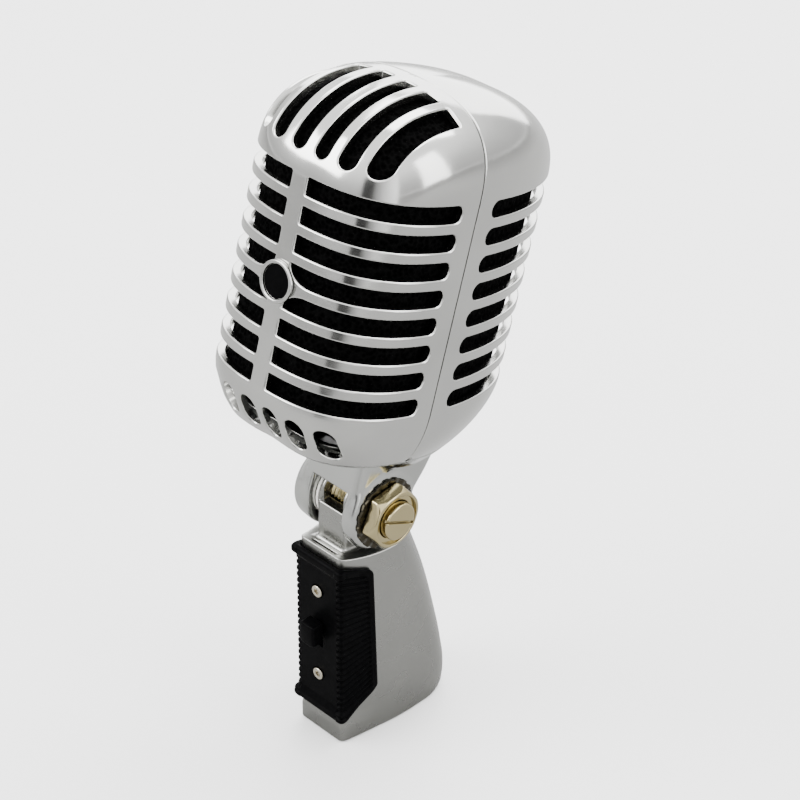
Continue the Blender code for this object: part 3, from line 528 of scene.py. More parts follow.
def build_liners():
    """Foam linings: a slightly uneven half-shell inside each grille."""
    for node, front in (("foam_liner_front", True), ("foam_liner_rear", False)):
        angles = np.linspace(0, math.pi, 121)
        heights = np.linspace(DOME_START, FOAM_FOOT, 76)
        rows = [dome_point(angles, tip, front) for tip in np.linspace(math.pi / 2, 0, 40)[1:-1]]
        rows += [surface_at(angles, z, front) for z in heights]
        base = np.concatenate([*rows, [(0, 0, DOME_START + DOME_RISE)]])
        across, top = len(angles), len(base) - 1
        faces = [(k * across + i, k * across + i + 1, (k + 1) * across + i + 1, (k + 1) * across + i)
                 for k in range(len(rows) - 1) for i in range(across - 1)]
        faces += [(top, i, i + 1) for i in range(across - 1)]
        normals = outward(base, front)
        waves = sum(np.sin(base @ np.array(w)) for w in ((2.1, 1.3, 1.7), (-1.2, 2.3, 1.1), (0.7, -1.9, 2.6)))
        outer = base - normals * (WALL + FOAM_GAP + 0.03 * waves)[:, None]
        inner = base - normals * (WALL + FOAM_BACK)
        for layer in (outer, inner):
            layer[:, 1] = np.minimum(layer[:, 1], -GAP / 2) if front else np.maximum(layer[:, 1], GAP / 2)
        border = list(range(top - across, top))
        border += [k * across + across - 1 for k in range(len(rows) - 2, -1, -1)]
        border += [top] + [k * across for k in range(len(rows) - 1)]
        n = len(base)
        walls = [(a, b, n + b, n + a) for a, b in zip(border, border[1:] + border[:1])]
        made_of = faces + [tuple(n + i for i in face[::-1]) for face in faces] + walls
        points, turned, _ = compacted(np.concatenate([outer, inner]), made_of,
                                      np.concatenate([normals, -normals]))
        liner = piece(node, from_head(points), turned, "head", "foam")


# -------------------- fields: like distances, negative inside

def smooth_max(a, b, k):
    """Larger of two fields, its crease rounded over k."""
    h = np.maximum(k - np.abs(a - b), 0) / k
    return np.maximum(a, b) + h * h * k / 4


def smooth_min(a, b, k):
    return -smooth_max(-a, -b, k)


def carve(field, cutter, k=0.4):
    """The field with a cutter taken away, its edge rounded."""
    return smooth_max(field, -cutter, k)


def between(value, low, high):
    return np.maximum(low - value, value - high)


def block(x, y, z, across, along, up, r=0.3):
    """Box with rounded edges, from its three ranges."""
    return smooth_max(smooth_max(between(x, *across), between(y, *along), r), between(z, *up), r)


def rod(u, v, along, radius, low, high, k=0.3):
    """Cylinder: u and v run across it, from its axis."""
    return smooth_max(np.hypot(u, v) - radius, between(along, low, high), k)


def hexagon(u, v, half, turn, k):
    """Six-sided bar: half its width over flats, and how far it is turned."""
    sides = [np.abs(u * math.cos(a) + v * math.sin(a)) - half
             for a in (math.radians(turn + 60 * i) for i in range(3))]
    return smooth_max(smooth_max(sides[0], sides[1], k), sides[2], k)


def polygon(u, v, outline):
    """Distance to a closed outline in a plane."""
    u, v = np.broadcast_arrays(u, v)
    outline = np.asarray(outline, float)
    nearest, crossed = np.full(u.shape, np.inf), np.zeros(u.shape, bool)
    for (au, av), (bu, bv) in zip(outline, np.roll(outline, -1, 0)):
        eu, ev = bu - au, bv - av
        t = np.clip(((u - au) * eu + (v - av) * ev) / (eu * eu + ev * ev), 0, 1)
        nearest = np.minimum(nearest, (u - au - t * eu) ** 2 + (v - av - t * ev) ** 2)
        if av != bv:
            crossed ^= ((av > v) != (bv > v)) & (u < au + (v - av) * eu / ev)
    return np.where(crossed, -1, 1) * np.sqrt(nearest)


def arc(centre, radius, start, end, steps):
    angles = np.radians(np.linspace(start, end, steps + 1))
    return [(centre[0] + radius * math.cos(a), centre[1] + radius * math.sin(a)) for a in angles]


def gradient(field, points, step=0.03):
    slopes = [field(*(points + step * e).T) - field(*(points - step * e).T) for e in np.eye(3)]
    return np.stack(slopes, -1) / (2 * step)


def skin(field, low, high, step):
    """Points, quads and normals of a field's zero surface, by surface nets on a grid of this step."""
    low = np.asarray(low, float) - 1.5 * step
    count = np.ceil((np.asarray(high) + 1.5 * step - low) / step).astype(int) + 1
    x, y, z = (low[i] + step * np.arange(count[i]) for i in range(3))
    values = np.empty(count, np.float32)
    for start in range(0, count[0], 16):
        run = slice(start, start + 16)
        values[run] = field(x[run, None, None], y[None, :, None], z[None, None, :])
    solid = values < 0
    cells = count - 1
    total, hits = np.zeros((cells.prod(), 3)), np.zeros(cells.prod())
    quads = []
    for axis in range(3):
        first, second = [slice(None)] * 3, [slice(None)] * 3
        first[axis], second[axis] = slice(0, -1), slice(1, None)
        crossing = np.argwhere(solid[tuple(first)] != solid[tuple(second)])
        ahead = crossing.copy()
        ahead[:, axis] += 1
        here, there = values[tuple(crossing.T)], values[tuple(ahead.T)]
        at = crossing.astype(float)
        at[:, axis] += here / (here - there)
        b, c = (i for i in range(3) if i != axis)
        around = []
        for db, dc in ((0, 0), (1, 0), (1, 1), (0, 1)):
            cell = crossing.copy()
            cell[:, b] -= db
            cell[:, c] -= dc
            index = np.ravel_multi_index(cell.T, cells)
            for i in range(3):
                total[:, i] += np.bincount(index, at[:, i], len(total))
            hits += np.bincount(index, minlength=len(hits))
            around.append(index)
        around = np.stack(around, 1)
        turned = (here > 0) ^ (axis == 1)
        around[turned] = around[turned][:, ::-1]
        quads.append(around)
    quads = np.concatenate(quads)
    used = np.flatnonzero(hits)
    place = np.zeros(cells.prod(), int)
    place[used] = np.arange(len(used))
    points = low + step * total[used] / hits[used, None]
    for _ in range(3):
        slope = gradient(field, points)
        move = -slope * (field(*points.T) / np.maximum((slope**2).sum(1), 0.04))[:, None]
        length = np.linalg.norm(move, axis=1, keepdims=True)
        points = points + move * np.minimum(1, 0.5 * step / np.maximum(length, 1e-9))
    return points, place[quads], unit(gradient(field, points))


def field_piece(node, field, low, high, step, body, slot, look=None, about_pivot=False):
    """A piece whose surface is a field's, drawn in the frame's axes or about the pivot axis."""
    points, faces, normals = skin(field, low, high, step)
    if about_pivot:
        points, normals = points @ HEAD_TURN.T + PIVOT, normals @ HEAD_TURN.T
    piece(node, points, faces, body, slot, normals, look)


# -------------------- badge

def build_badge():
    face = -FRONT_DEPTH - 0.05
    reach = BADGE_RIM + 0.2

    def rim(x, y, z):
        r = np.hypot(x, z - BADGE_Z)
        ring = smooth_max(between(r, BADGE_RADIUS + 0.15, BADGE_RIM), between(y, face - 1.1, face), 0.5)
        return smooth_max(ring, r - BADGE_RIM - 0.35 * (y - face + 1.0), 0.3)

    def disc(x, y, z):
        r = np.hypot(x, z - BADGE_Z)
        return smooth_max(r - BADGE_RADIUS, np.maximum(face - 0.6 - y + 0.006 * r * r, y - face), 0.12)

    for node, field, slot in (("badge_rim", rim, "satin_chrome"), ("badge_disc", disc, "black_enamel")):
        low, high = (-reach, face - 1.3, BADGE_Z - reach), (reach, face + 0.2, BADGE_Z + reach)
        points, faces, normals = skin(field, low, high, 0.14)
        piece(node, from_head(points), faces, "head", slot, normals @ HEAD_TURN.T)


# -------------------- yoke and pivot

def head_depth(x, y, z):
    """Distance outside the head's lower surface, for points about the pivot."""
    y, z = y - HEAD_FROM_PIVOT[1], z - HEAD_FROM_PIVOT[2]
    a = np.arctan2(np.abs(y), x)
    found = None
    for front in (True, False):
        reach = plan_radius(a, front)
        n = fullness(a, front, BOWL_SIDE, BOWL_ENDS)
        rho, down = np.hypot(x, y) / reach, np.maximum(0.01, BOWL_START - z) / BOWL_DROP
        value = (rho**n + down**n) ** (1 / n)
        steepness = np.hypot((rho / value) ** (n - 1) / reach, (down / value) ** (n - 1) / BOWL_DROP)
        depth = (value - 1) / steepness
        found = depth if found is None else np.where(y < 0, found, depth)
    return found


# Side views of the neck that carries the ears, and of the space between the ears
NECK = [(-EAR_RADIUS, 15), *arc((0, 0), EAR_RADIUS, 180, 366, 48), (15.0, 9), (19.4, 20.4), (-9, 20.4)]
FORK = [(-30, -20), (30, -20), (30, 9.8), *arc((0, 0), 9.8, 90, 148, 16), (-30, 6.4)]


def yoke_field(x, y, z):
    foot, lip_top = SHELL_BOTTOM - GAP + HEAD_FROM_PIVOT[2], -66 + HEAD_FROM_PIVOT[2]
    squash = 1 + YOKE_UNDERCUT * np.clip((-2 - y) / 14, 0, 1)
    under = head_depth(x, y, foot + (z - foot) * squash)
    bowl = smooth_max(under, z - foot, 0.7)
    bowl = carve(bowl, smooth_max(under + YOKE_WALL, 15.0 - z, 1.5))
    neck = smooth_max(polygon(y, z, NECK), np.abs(x) - EAR_OUTER, 3.0)
    body = smooth_min(bowl, neck, 2.5)
    body = smooth_min(body, rod(y, z, x, EAR_RADIUS + 0.1, -EAR_LEFT - 0.2, EAR_BOSS, 2.4), 1.2)
    lip = np.abs(head_depth(x, y, z) + YOKE_LIP_DEPTH) - YOKE_LIP_HALF
    lip = smooth_max(lip, between(z, 18, lip_top), 0.5)
    body = smooth_min(body, lip, 0.9)
    body = carve(body, np.maximum(polygon(y, z, FORK), np.abs(x) - EAR_INNER), 1.0)
    body = carve(body, np.hypot(y, z) - BOLT_RADIUS - GAP)
    body = carve(body, rod(y, z, x, BOLT_HEAD_RADIUS + GAP, -20, -EAR_LEFT + BOLT_HEAD_HEIGHT))
    body = carve(body, rod(x, y - CABLE_BORE_Y, z, CABLE_BORE_RADIUS, 0, 30))
    return carve(body, rod(x, y - BRACKET_SCREW_Y, z, BRACKET_SCREW_RADIUS, 14, 27))


def build_pivot():
    nut_inner, nut_outer = EAR_BOSS + 1.2, EAR_BOSS + 1.2 + NUT_HEIGHT
    end = nut_outer + 1.3

    def nut(x, y, z):
        r = np.hypot(y, z)
        sides = hexagon(y, z, NUT_FLATS / 2, NUT_TURN + 30, 0.5)
        cone = 0.78 * (r - 8.75) + 0.62 * (x - nut_outer + 1.2)
        body = smooth_max(smooth_max(sides, cone, 0.5), between(x, nut_inner, nut_outer), 0.35)
        body = carve(body, r - BOLT_RADIUS - 0.15, 0.25)
        return carve(body, np.maximum(r - 7.0, nut_outer - 0.9 - x), 0.25)

    def bolt(x, y, z):
        r = np.hypot(y, z)
        wave = np.abs(((x / THREAD_PITCH - np.arctan2(z, y) / (2 * math.pi)) % 1) - 0.5) * 2
        threaded = np.clip((6.4 - np.abs(x - 0.2)) / 0.6, 0, 1)
        shaft = smooth_max(r - BOLT_RADIUS + THREAD_DEPTH * 2 * threaded * wave, between(x, -11, end), 0.7)
        head = rod(y, z, x, BOLT_HEAD_RADIUS, -EAR_LEFT, -EAR_LEFT + BOLT_HEAD_HEIGHT - GAP, 0.7)
        body = np.minimum(shaft, head)
        body = carve(body, np.maximum(np.abs(z + SLOT_SLOPE * y) - 0.4, end - 1.0 - x), 0.15)
        return carve(body, np.maximum(np.abs(z) - 0.7, x + EAR_LEFT - 1.2), 0.2)

    def washer(x, y, z):
        r, turn = np.hypot(y, z), np.arctan2(z, y)
        middle = EAR_BOSS + 0.6 + 0.1 * np.sin(LOCK_TEETH * turn) * np.clip((r - 6.6) / 2, 0, 1)
        tooth = LOCK_WASHER_RADIUS - 0.35 * np.clip(0.3 - 2.0 * np.cos(LOCK_TEETH * turn), 0, 1)
        return smooth_max(between(r, BOLT_RADIUS + 0.3, tooth), np.abs(x - middle) - 0.38, 0.15)

    low, high = (-29, -47, -11.2), (29, 38, 28)
    field_piece("swivel_yoke", yoke_field, low, high, 0.42, "head", "satin_chrome", "cast_chrome", True)
    shapes = (
        ("pivot_nut", nut, nut_inner, nut_outer, 9.4, 0.2, "champagne_nickel"),
        ("pivot_bolt", bolt, -EAR_LEFT, end, BOLT_HEAD_RADIUS + 0.2, 0.18, "champagne_nickel"),
        # The lock washer's dark_steel is near black: partly the washer's dark steel, partly painted shade of the
        # gap between the ear and the nut.
        ("lock_washer", washer, EAR_BOSS + 0.1, EAR_BOSS + 1.1, LOCK_WASHER_RADIUS + 0.1, 0.14, "dark_steel"),
    )
    for node, field, left, right, reach, step, slot in shapes:
        low, high = (left, -reach, -reach), (right, reach, reach)
        field_piece(node, field, low, high, step, "head", slot, about_pivot=True)


# -------------------- base

def rear_at(z):
    """How far back the base reaches at a height: a smooth curve through BASE_REAR."""
    heights, reaches = np.array(BASE_REAR, float).T
    slopes = np.gradient(reaches, heights)
    z = np.clip(z, heights[0], heights[-1])
    k = np.clip(np.searchsorted(heights, z, side="right") - 1, 0, len(heights) - 2)
    span = heights[k + 1] - heights[k]
    t = (z - heights[k]) / span
    rise = reaches[k] * (2 * t**3 - 3 * t**2 + 1) + reaches[k + 1] * (3 * t**2 - 2 * t**3)
    return rise + span * (slopes[k] * (t**3 - 2 * t**2 + t) + slopes[k + 1] * (t**3 - t**2))


def base_half_width(y):
    return BASE_FRONT_HALF + BASE_SIDE_SWELL * np.sin(np.clip((y - BASE_FRONT) / 25, 0, 1) * math.pi / 2)


def base_field(x, y, z):
    pivot_y, pivot_z = PIVOT[1], PIVOT[2]
    shoulder = rear_at(z) - BASE_BACK_ROUND
    flare = BASE_FLARE * np.clip((9 - z) / 4, 0, 1) * np.clip((-8 - y) / 10, 0, 1)
    width = base_half_width(np.minimum(y, shoulder)) + flare
    back = np.maximum(y - shoulder, 0) / BASE_BACK_ROUND
    rim = ((np.abs(x) / width) ** BASE_PLAN_POWER + back**BASE_PLAN_POWER) ** (1 / BASE_PLAN_POWER)
    plan = (rim - 1) * width * 0.9
    body = smooth_max(plan, BASE_FRONT - y - flare, 1.4)
    saddle = SADDLE_RADIUS - np.hypot(y - pivot_y, z - SADDLE_BOTTOM - SADDLE_RADIUS)
    body = smooth_max(smooth_max(body, saddle, 0.4), -z, 0.8)
    round_top = np.where(z > pivot_z, np.hypot(y - pivot_y, z - pivot_z), np.abs(y - pivot_y)) - TONGUE_RADIUS
    tongue = smooth_max(smooth_max(round_top, np.abs(x) - TONGUE_HALF, 1.2), TONGUE_FOOT - z, 1)
    body = smooth_min(body, tongue, 1.8)
    body = carve(body, np.hypot(y - pivot_y, z - pivot_z) - BOLT_RADIUS - GAP)
    bevel = 3.6 + 1.1 * np.clip((-14.8 - y) / 1.4, 0, 1.2)
    window = np.maximum(np.maximum(np.abs(x) - bevel, y - pivot_y), between(z, WINDOW_FOOT, 90))
    body = carve(body, window, 0.5)
    body = carve(body, block(x, y, z, (-4.6, 4.6), (-18.9, -17.9), (62.0, 70)), 0.2)
    body = carve(body, block(x, y, z, (-6, 6), (BASE_FRONT + 4.2, 4), (15, 54), 0.8))
    body = carve(body, block(x, y, z, (-4.6, 4.6), (-23, -15), (27, 46)))
    body = carve(body, rod(x, z - SOCKET_Z, y, SOCKET_RADIUS, -2.6, 30))
    body = carve(body, rod(x, y, z, INSERT_RADIUS + GAP, -5, INSERT_HEIGHT + GAP))
    body = carve(body, rod(y, z - SOCKET_Z, x, SET_SCREW_RADIUS, -20, -5))
    for height in SCREW_Z:
        body = carve(body, rod(x, z - height, y, SCREW_BORE, -23, -15.2))
    return body


def build_base():
    # The base takes satin_cast, darker than the head's chrome: partly its rougher cast finish, partly painted
    # shade that darkens the base against the head.
    field_piece("base_body", base_field, (-12.0, -20.6, 0), (12.0, 21.2, 83.4), 0.34, "base", "satin_cast")


def cover_field(x, y, z):
    """Cover that hugs the base: ribbed sides with a raised rim, and a plain panel in front."""
    out = smooth_max(np.abs(x) - base_half_width(y), BASE_FRONT - y, 1.4)
    back = np.clip((y - BASE_FRONT) / (COVER_BACK - BASE_FRONT), 0, 1)
    foot, top = (at[0] + (at[1] - at[0]) * back for at in (COVER_FOOT, COVER_TOP))
    rear = COVER_BACK - 0.6 + COVER_LEAN * np.clip((COVER_TOP[1] - z) / 40, 0, 1)
    edge = smooth_max(between(z, foot, top), y - rear, 2.0)
    phase = (z - foot) / (top - foot) * (RIB_COUNT + 1.3) - 0.4
    rib = np.clip(0.5 + 1.0 * np.cos(2 * math.pi * phase), 0, 1)
    on_side = np.clip((np.abs(x) - BASE_FRONT_HALF + 0.7) / 0.4, 0, 1)
    on_rim = np.clip((edge + 2.3) / 0.5, 0, 1)
    low_lip = np.clip(1.25 - np.abs(z - foot - 2.0) / 2.6, 0, 1)
    lip = np.maximum(low_lip, np.clip(1.25 - np.abs(top - z - 1.5) / 2.0, 0, 1))
    raised = (on_rim * COVER_RIM + (1 - on_rim) * rib * COVER_RIB) * on_side + (1 - on_side) * 0.4
    raised = raised + LIP_HEIGHT * lip * lip * (3 - 2 * lip) * np.clip((-15.5 - y) / 4, 0, 1)
    body = smooth_max(out - (COVER_SKIN - COVER_RIM + raised), GAP - out, 0.2)
    body = smooth_max(body, edge, 0.8)
    slide = (KNOB_Z - KNOB_TRAVEL - 2.2, KNOB_Z + 2.2)
    body = carve(body, block(x, y, z, (-1.7, 1.7), (-26, -17), slide), 0.25)
    for height in SCREW_Z:
        body = carve(body, rod(x, z - height, y, SCREW_BORE, -25, -17), 0.15)
        body = carve(body, rod(x, z - height, y, SCREW_SEAT, -25, BASE_FRONT - COVER_SKIN + 0.6), 0.2)
    return body


def build_cover():
    front = BASE_FRONT - COVER_SKIN
    low, high = (-13.6, -22.6, 7.6), (13.6, -8.8, 61.2)
    field_piece("switch_cover", cover_field, low, high, 0.2, "base", "black_plastic")

    def knob(x, y, z):
        crown = front - KNOB_REACH + 0.03 * (x * x + 0.5 * (z - KNOB_Z) ** 2)
        sides = smooth_max(np.abs(x) - KNOB_HALF_WIDTH, np.abs(z - KNOB_Z) - KNOB_HALF_HEIGHT, 0.8)
        cap = smooth_max(sides, np.maximum(crown - y, y - front + 0.25), 0.6)
        stem = block(x, y, z, (-1.3, 1.3), (front - 1, BASE_FRONT + 1.4), (KNOB_Z - 1.8, KNOB_Z + 1.8))
        return np.minimum(cap, stem)

    low = (-KNOB_HALF_WIDTH - 0.1, front - KNOB_REACH, KNOB_Z - KNOB_HALF_HEIGHT - 0.1)
    high = (KNOB_HALF_WIDTH + 0.1, BASE_FRONT + 1.5, KNOB_Z + KNOB_HALF_HEIGHT + 0.1)
    field_piece("switch_knob", knob, low, high, 0.12, "slider", "black_plastic")
    for node, height in zip(("cover_screw_upper", "cover_screw_lower"), SCREW_Z):
        def screw(x, y, z, height=height):
            r = np.hypot(x, z - height)
            head = smooth_max(r - SCREW_HEAD, between(y, front - 0.4, front + 0.4), 0.35)
            shank = smooth_max(r - SCREW_SHANK, between(y, front, BASE_FRONT + 4.5), 0.2)
            drive = hexagon(x, z - height, SCREW_DRIVE, 0, 1e-9)
            return carve(np.minimum(head, shank), np.maximum(drive, y - front - 0.5), 0.1)

        reach = SCREW_HEAD + 0.1
        low, high = (-reach, front - 0.4, height - reach), (reach, BASE_FRONT + 4.5, height + reach)
        field_piece(node, screw, low, high, 0.08, "base", "nickel")


# -------------------- finishes

class Finish:
    """A material's node tree, with the few node groups that the finishes share."""

    def __init__(self, name, colour, roughness, metallic=0.0, **sockets):
        self.material = bpy.data.materials.new(name)
        self.material.use_nodes = True
        self.tree = self.material.node_tree
        self.link = self.tree.links.new
        self.shader = self.tree.nodes["Principled BSDF"]
        self.shader.inputs["Base Color"].default_value = (*colour, 1)
        self.shader.inputs["Roughness"].default_value = roughness
        self.shader.inputs["Metallic"].default_value = metallic
        for socket, value in sockets.items():
            self.shader.inputs[socket.replace("_", " ")].default_value = value
        self.place = self.add("TexCoord").outputs["Object"]
        self.surface = None

    def add(self, kind, **sockets):
        """A new node with these input values."""
        node = self.tree.nodes.new(f"ShaderNode{kind}")
        for socket, value in sockets.items():
            node.inputs[socket.replace("_", " ")].default_value = value
        return node

    def noise(self, scale, detail=3.0):
        """Noise in cycles per metre, from 0 to 1."""
        node = self.add("TexNoise", Scale=scale, Detail=detail, Distortion=0.0)
        self.link(self.place, node.inputs["Vector"])
        return node.outputs["Fac"]

    def cells(self, scale):
        """Distance to the middle of the nearest cell, in cells per metre."""
        node = self.add("TexVoronoi", Scale=scale)
        self.link(self.place, node.inputs["Vector"])
        return node.outputs["Distance"]

    def spread(self, factor, low, high):
        """The factor, stretched from its usual middle range to low..high."""
        node = self.add("MapRange", From_Min=0.3, From_Max=0.7, To_Min=low, To_Max=high)
        self.link(factor, node.inputs["Value"])
        return node.outputs["Result"]

    def colours(self, factor, low, high):
        node = self.add("Mix")
        node.data_type = "RGBA"
        node.inputs["A"].default_value = (*low, 1)
        node.inputs["B"].default_value = (*high, 1)
        self.link(self.spread(factor, 0, 1), node.inputs["Factor"])
        return node.outputs["Result"]

    def drive(self, socket, output):
        self.link(output, self.shader.inputs[socket])

    def bump(self, height, distance):
        """Adds relief of this height in metres."""
        node = self.add("Bump", Distance=distance, Strength=1.0)
        self.link(height, node.inputs["Height"])
        if self.surface:
            self.link(self.surface, node.inputs["Normal"])
        self.surface = node.outputs["Normal"]
        self.drive("Normal", self.surface)


def plated(name, colour, low, high, grain, peel):
    """Plated metal: cloudy roughness, fine satin grain, and the slow unevenness of a casting."""
    made = Finish(name, colour, (low + high) / 2, 1.0)
    made.drive("Roughness", made.spread(made.noise(90, 4), low, high))
    darker = tuple(c * 0.9 for c in colour)
    made.drive("Base Color", made.colours(made.noise(55, 5), darker, colour))
    made.bump(made.noise(160, 2), peel)
    made.bump(made.noise(2600, 2), grain)
    return made.material


def moulded(name, colour, roughness, grain, specular):
    """Moulded plastic or rubber with a fine spark grain."""
    made = Finish(name, colour, roughness, Specular_IOR_Level=specular)
    made.drive("Roughness", made.spread(made.noise(200, 3), roughness - 0.06, roughness + 0.08))
    lighter = tuple(c * 1.5 + 0.0003 for c in colour)
    made.drive("Base Color", made.colours(made.noise(700, 3), colour, lighter))
    made.bump(made.noise(1700, 3), grain)
    return made.material


def open_foam():
    """Black open-cell foam."""
    made = Finish("black_foam", (0.002, 0.002, 0.002), 0.95, Specular_IOR_Level=0.01)
    # Darker in the middle of each cell, where the bump below sinks in: painted shade in the pores.
    made.drive("Base Color", made.colours(made.cells(900), (0.0002, 0.0002, 0.0002), (0.002, 0.002, 0.002)))
    made.drive("Roughness", made.spread(made.noise(600), 0.85, 1.0))
    made.bump(made.cells(900), 0.0006)
    return made.material


# Colour, lowest and highest roughness, and the heights in metres of the grain and of the casting's unevenness
PLATED = {
    "satin_chrome": ((0.52, 0.52, 0.505), 0.11, 0.18, 3e-6, 4e-5),
    "cast_chrome": ((0.46, 0.465, 0.45), 0.14, 0.22, 4e-6, 5e-5),
    # satin_cast is darker than satin_chrome: partly a rougher cast finish, partly painted shade on the base.
    "satin_cast": ((0.305, 0.305, 0.29), 0.22, 0.32, 6e-6, 7e-5),
    "champagne_nickel": ((0.475, 0.405, 0.225), 0.12, 0.2, 4e-6, 4e-5),
    "plain_steel": ((0.45, 0.45, 0.46), 0.32, 0.42, 6e-6, 4e-5),
    # dark_steel is near black: partly the lock washer's dark steel, partly painted shade of the gap between the
    # ear and the nut.
    "dark_steel": ((0.045, 0.04, 0.028), 0.22, 0.38, 8e-6, 3e-5),
    "nickel": ((0.55, 0.51, 0.42), 0.16, 0.26, 3e-6, 3e-5),
    "brass": ((0.75, 0.57, 0.28), 0.26, 0.38, 5e-6, 4e-5),
    "magnet_grey": ((0.27, 0.27, 0.29), 0.42, 0.55, 1e-5, 4e-5),
    "copper_wire": ((0.74, 0.38, 0.22), 0.28, 0.4, 1e-5, 2e-5),
}
# Colour, roughness, height of the grain in metres, and specular level
MOULDED = {
    "black_plastic": ((0.0006, 0.0006, 0.0007), 0.42, 2e-5, 0.02),
    "black_enamel": ((0.0004, 0.0004, 0.0005), 0.35, 6e-6, 0.02),
    "rubber": ((0.018, 0.018, 0.018), 0.75, 3e-5, 0.5),
    "nylon": ((0.72, 0.71, 0.66), 0.48, 1e-5, 0.5),
    "film": ((0.55, 0.55, 0.5), 0.25, 4e-6, 0.5),
}


# -------------------- floor, light and camera, in metres

# Height from straight down (0) to straight up (1), and brightness there
SKY = ((0.0, 0.8), (0.5, 0.62), (0.6, 0.85), (0.74, 1.5), (1.0, 1.75))
# Direction of the camera from the object, its roll, its distance, and the focal length on a 36 mm wide sensor
CAMERA_AZIMUTH, CAMERA_ELEVATION, CAMERA_ROLL = (math.radians(a) for a in (44.53, 34.53, 0.59))
CAMERA_DISTANCE, CAMERA_LENS, SENSOR_WIDTH = 0.60558, 105.543, 36
CAMERA_TARGET, CAMERA_SHIFT = Vector((0, 0, 0.1)), (0.00655, 0.00082)


def area_light(name, place, target, size, power):
    data = bpy.data.lights.new(name, "AREA")
    data.shape, data.size, data.size_y, data.energy = "RECTANGLE", *size, power
    lamp = bpy.data.objects.new(name, data)
    lamp.location = place
    lamp.rotation_euler = (Vector(target) - Vector(place)).to_track_quat("-Z", "Y").to_euler()
    bpy.context.scene.collection.objects.link(lamp)


def staged_sheet(name, corners, look, only_reflections=True):
    """A flat sheet of the studio. Only reflections see it, unless it is the floor."""
    mesh = bpy.data.meshes.new(name)
    mesh.from_pydata(corners, [], [(0, 1, 2, 3)])
    mesh.materials.append(look.material)
    sheet = bpy.data.objects.new(name, mesh)
    bpy.context.scene.collection.objects.link(sheet)
    if only_reflections:
        sheet.visible_camera = sheet.visible_diffuse = sheet.visible_shadow = False


def square(reach, height):
    return [(x * reach, y * reach, height) for x, y in ((-1, -1), (1, -1), (1, 1), (-1, 1))]


def lay_floor():
    look = Finish("floor", (0.75, 0.75, 0.75), 0.6, Specular_IOR_Level=0.1)
    look.drive("Base Color", look.colours(look.noise(3), (0.74, 0.74, 0.74), (0.76, 0.76, 0.76)))
    staged_sheet("floor", square(6.0, 0), look, only_reflections=False)


def dark_card(name, place, width, height):
    """A black flag: the dark streak that a polished curve shows in a pale studio. It fades to one side."""
    turn = math.atan2(place[1], place[0])
    across = Vector((-math.sin(turn), math.cos(turn), 0)) * width / 2
    corners = [Vector(place) + side * across + Vector((0, 0, up * height / 2))
               for side, up in ((-1, -1), (1, -1), (1, 1), (-1, 1))]
    look = Finish(name, (0.02, 0.02, 0.02), 0.9)
    look.drive("Roughness", look.spread(look.noise(40), 0.85, 1.0))
    split, fade = look.add("SeparateXYZ"), look.add("ValToRGB")
    look.link(look.add("TexCoord").outputs["Generated"], split.inputs[0])
    look.link(split.outputs["X"], fade.inputs["Fac"])
    for element, position, grey in zip(fade.color_ramp.elements, (0.3, 1.0), (0.004, 0.85)):
        element.position, element.color = position, (grey, grey, grey, 1)
    look.drive("Base Color", fade.outputs["Color"])
    staged_sheet(name, corners, look)


def grey_board():
    """A grey board on the floor, so that the metal stands out from the pale floor."""
    look = Finish("grey_board", (0.22, 0.22, 0.22), 0.9)
    look.drive("Base Color", look.colours(look.noise(2), (0.2, 0.2, 0.2), (0.24, 0.24, 0.235)))
    staged_sheet("grey_board", square(3.0, 0.0005), look)


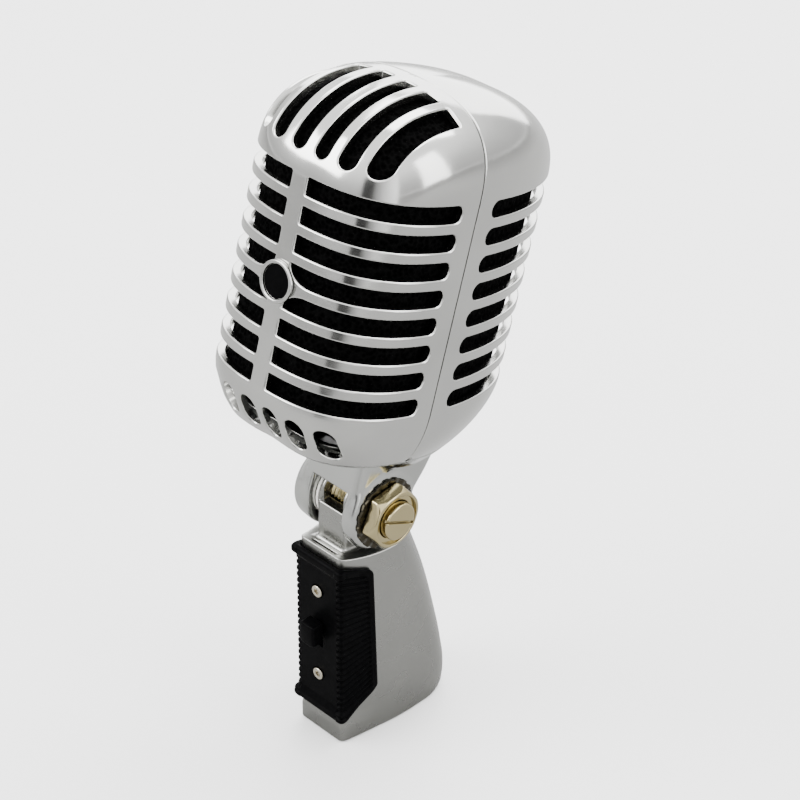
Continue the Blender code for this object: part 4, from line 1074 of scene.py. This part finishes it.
def light_studio():
    """A pale dome of light, brighter above, and four area lights."""
    world = bpy.data.worlds.new("studio")
    bpy.context.scene.world = world
    world.use_nodes = True
    tree = world.node_tree
    place, split, height, ramp = (tree.nodes.new(f"ShaderNode{kind}")
                                  for kind in ("TexCoord", "SeparateXYZ", "MapRange", "ValToRGB"))
    height.inputs["From Min"].default_value = -1
    tree.links.new(place.outputs["Generated"], split.inputs[0])
    tree.links.new(split.outputs["Z"], height.inputs["Value"])
    tree.links.new(height.outputs["Result"], ramp.inputs["Fac"])
    elements = ramp.color_ramp.elements
    for position, _ in SKY[1:-1]:
        elements.new(position)
    for element, (position, grey) in zip(elements, SKY):
        element.position, element.color = position, (grey, grey, grey, 1)
    background = tree.nodes["Background"]
    background.inputs["Strength"].default_value = 1.7
    tree.links.new(ramp.outputs["Color"], background.inputs["Color"])

    area_light("key", (-0.55, -0.80, 0.85), (0, 0, 0.12), (0.8, 0.8), 22)
    area_light("top", (-0.1, 0.55, 1.1), (0, 0, 0.1), (1.3, 0.8), 30)
    area_light("back", (-1.0, 1.3, 0.45), (0, 0, 0.15), (1.7, 0.9), 26)
    area_light("side", (1.0, 0.35, 0.5), (0, 0, 0.1), (0.5, 0.8), 7)


def add_camera():
    level_back = Vector((math.sin(CAMERA_AZIMUTH), -math.cos(CAMERA_AZIMUTH), 0))
    back = level_back * math.cos(CAMERA_ELEVATION) + Vector((0, 0, math.sin(CAMERA_ELEVATION)))
    right = Vector((math.cos(CAMERA_AZIMUTH), math.sin(CAMERA_AZIMUTH), 0))
    up = back.cross(right)
    across = math.cos(CAMERA_ROLL) * right + math.sin(CAMERA_ROLL) * up
    upward = math.cos(CAMERA_ROLL) * up - math.sin(CAMERA_ROLL) * right
    camera = bpy.data.objects.new("camera", bpy.data.cameras.new("camera"))
    camera.data.lens, camera.data.sensor_width = CAMERA_LENS, SENSOR_WIDTH
    camera.matrix_world = Matrix((across, upward, back)).transposed().to_4x4()
    camera.location = CAMERA_TARGET + CAMERA_SHIFT[0] * right + CAMERA_SHIFT[1] * up + CAMERA_DISTANCE * back
    bpy.context.scene.collection.objects.link(camera)
    bpy.context.scene.camera = camera


# -------------------- the whole

finishes = {name: plated(name, *look) for name, look in PLATED.items()}
finishes |= {name: moulded(name, *look) for name, look in MOULDED.items()}
finishes["foam"] = open_foam()
slot_of = {part["node"]: part["material_slot"] for part in frame["record"]["subparts"]}
for node, obj in frame["nodes"].items():
    obj.data.materials.clear()
    obj.data.materials.append(finishes[slot_of[node]])
build_shells()
build_liners()
build_badge()
build_pivot()
build_base()
build_cover()
lay_floor()
dark_card("card_behind_camera", (0.60, -0.66, 0.32), 0.85, 0.64)
grey_board()
light_studio()
add_camera()
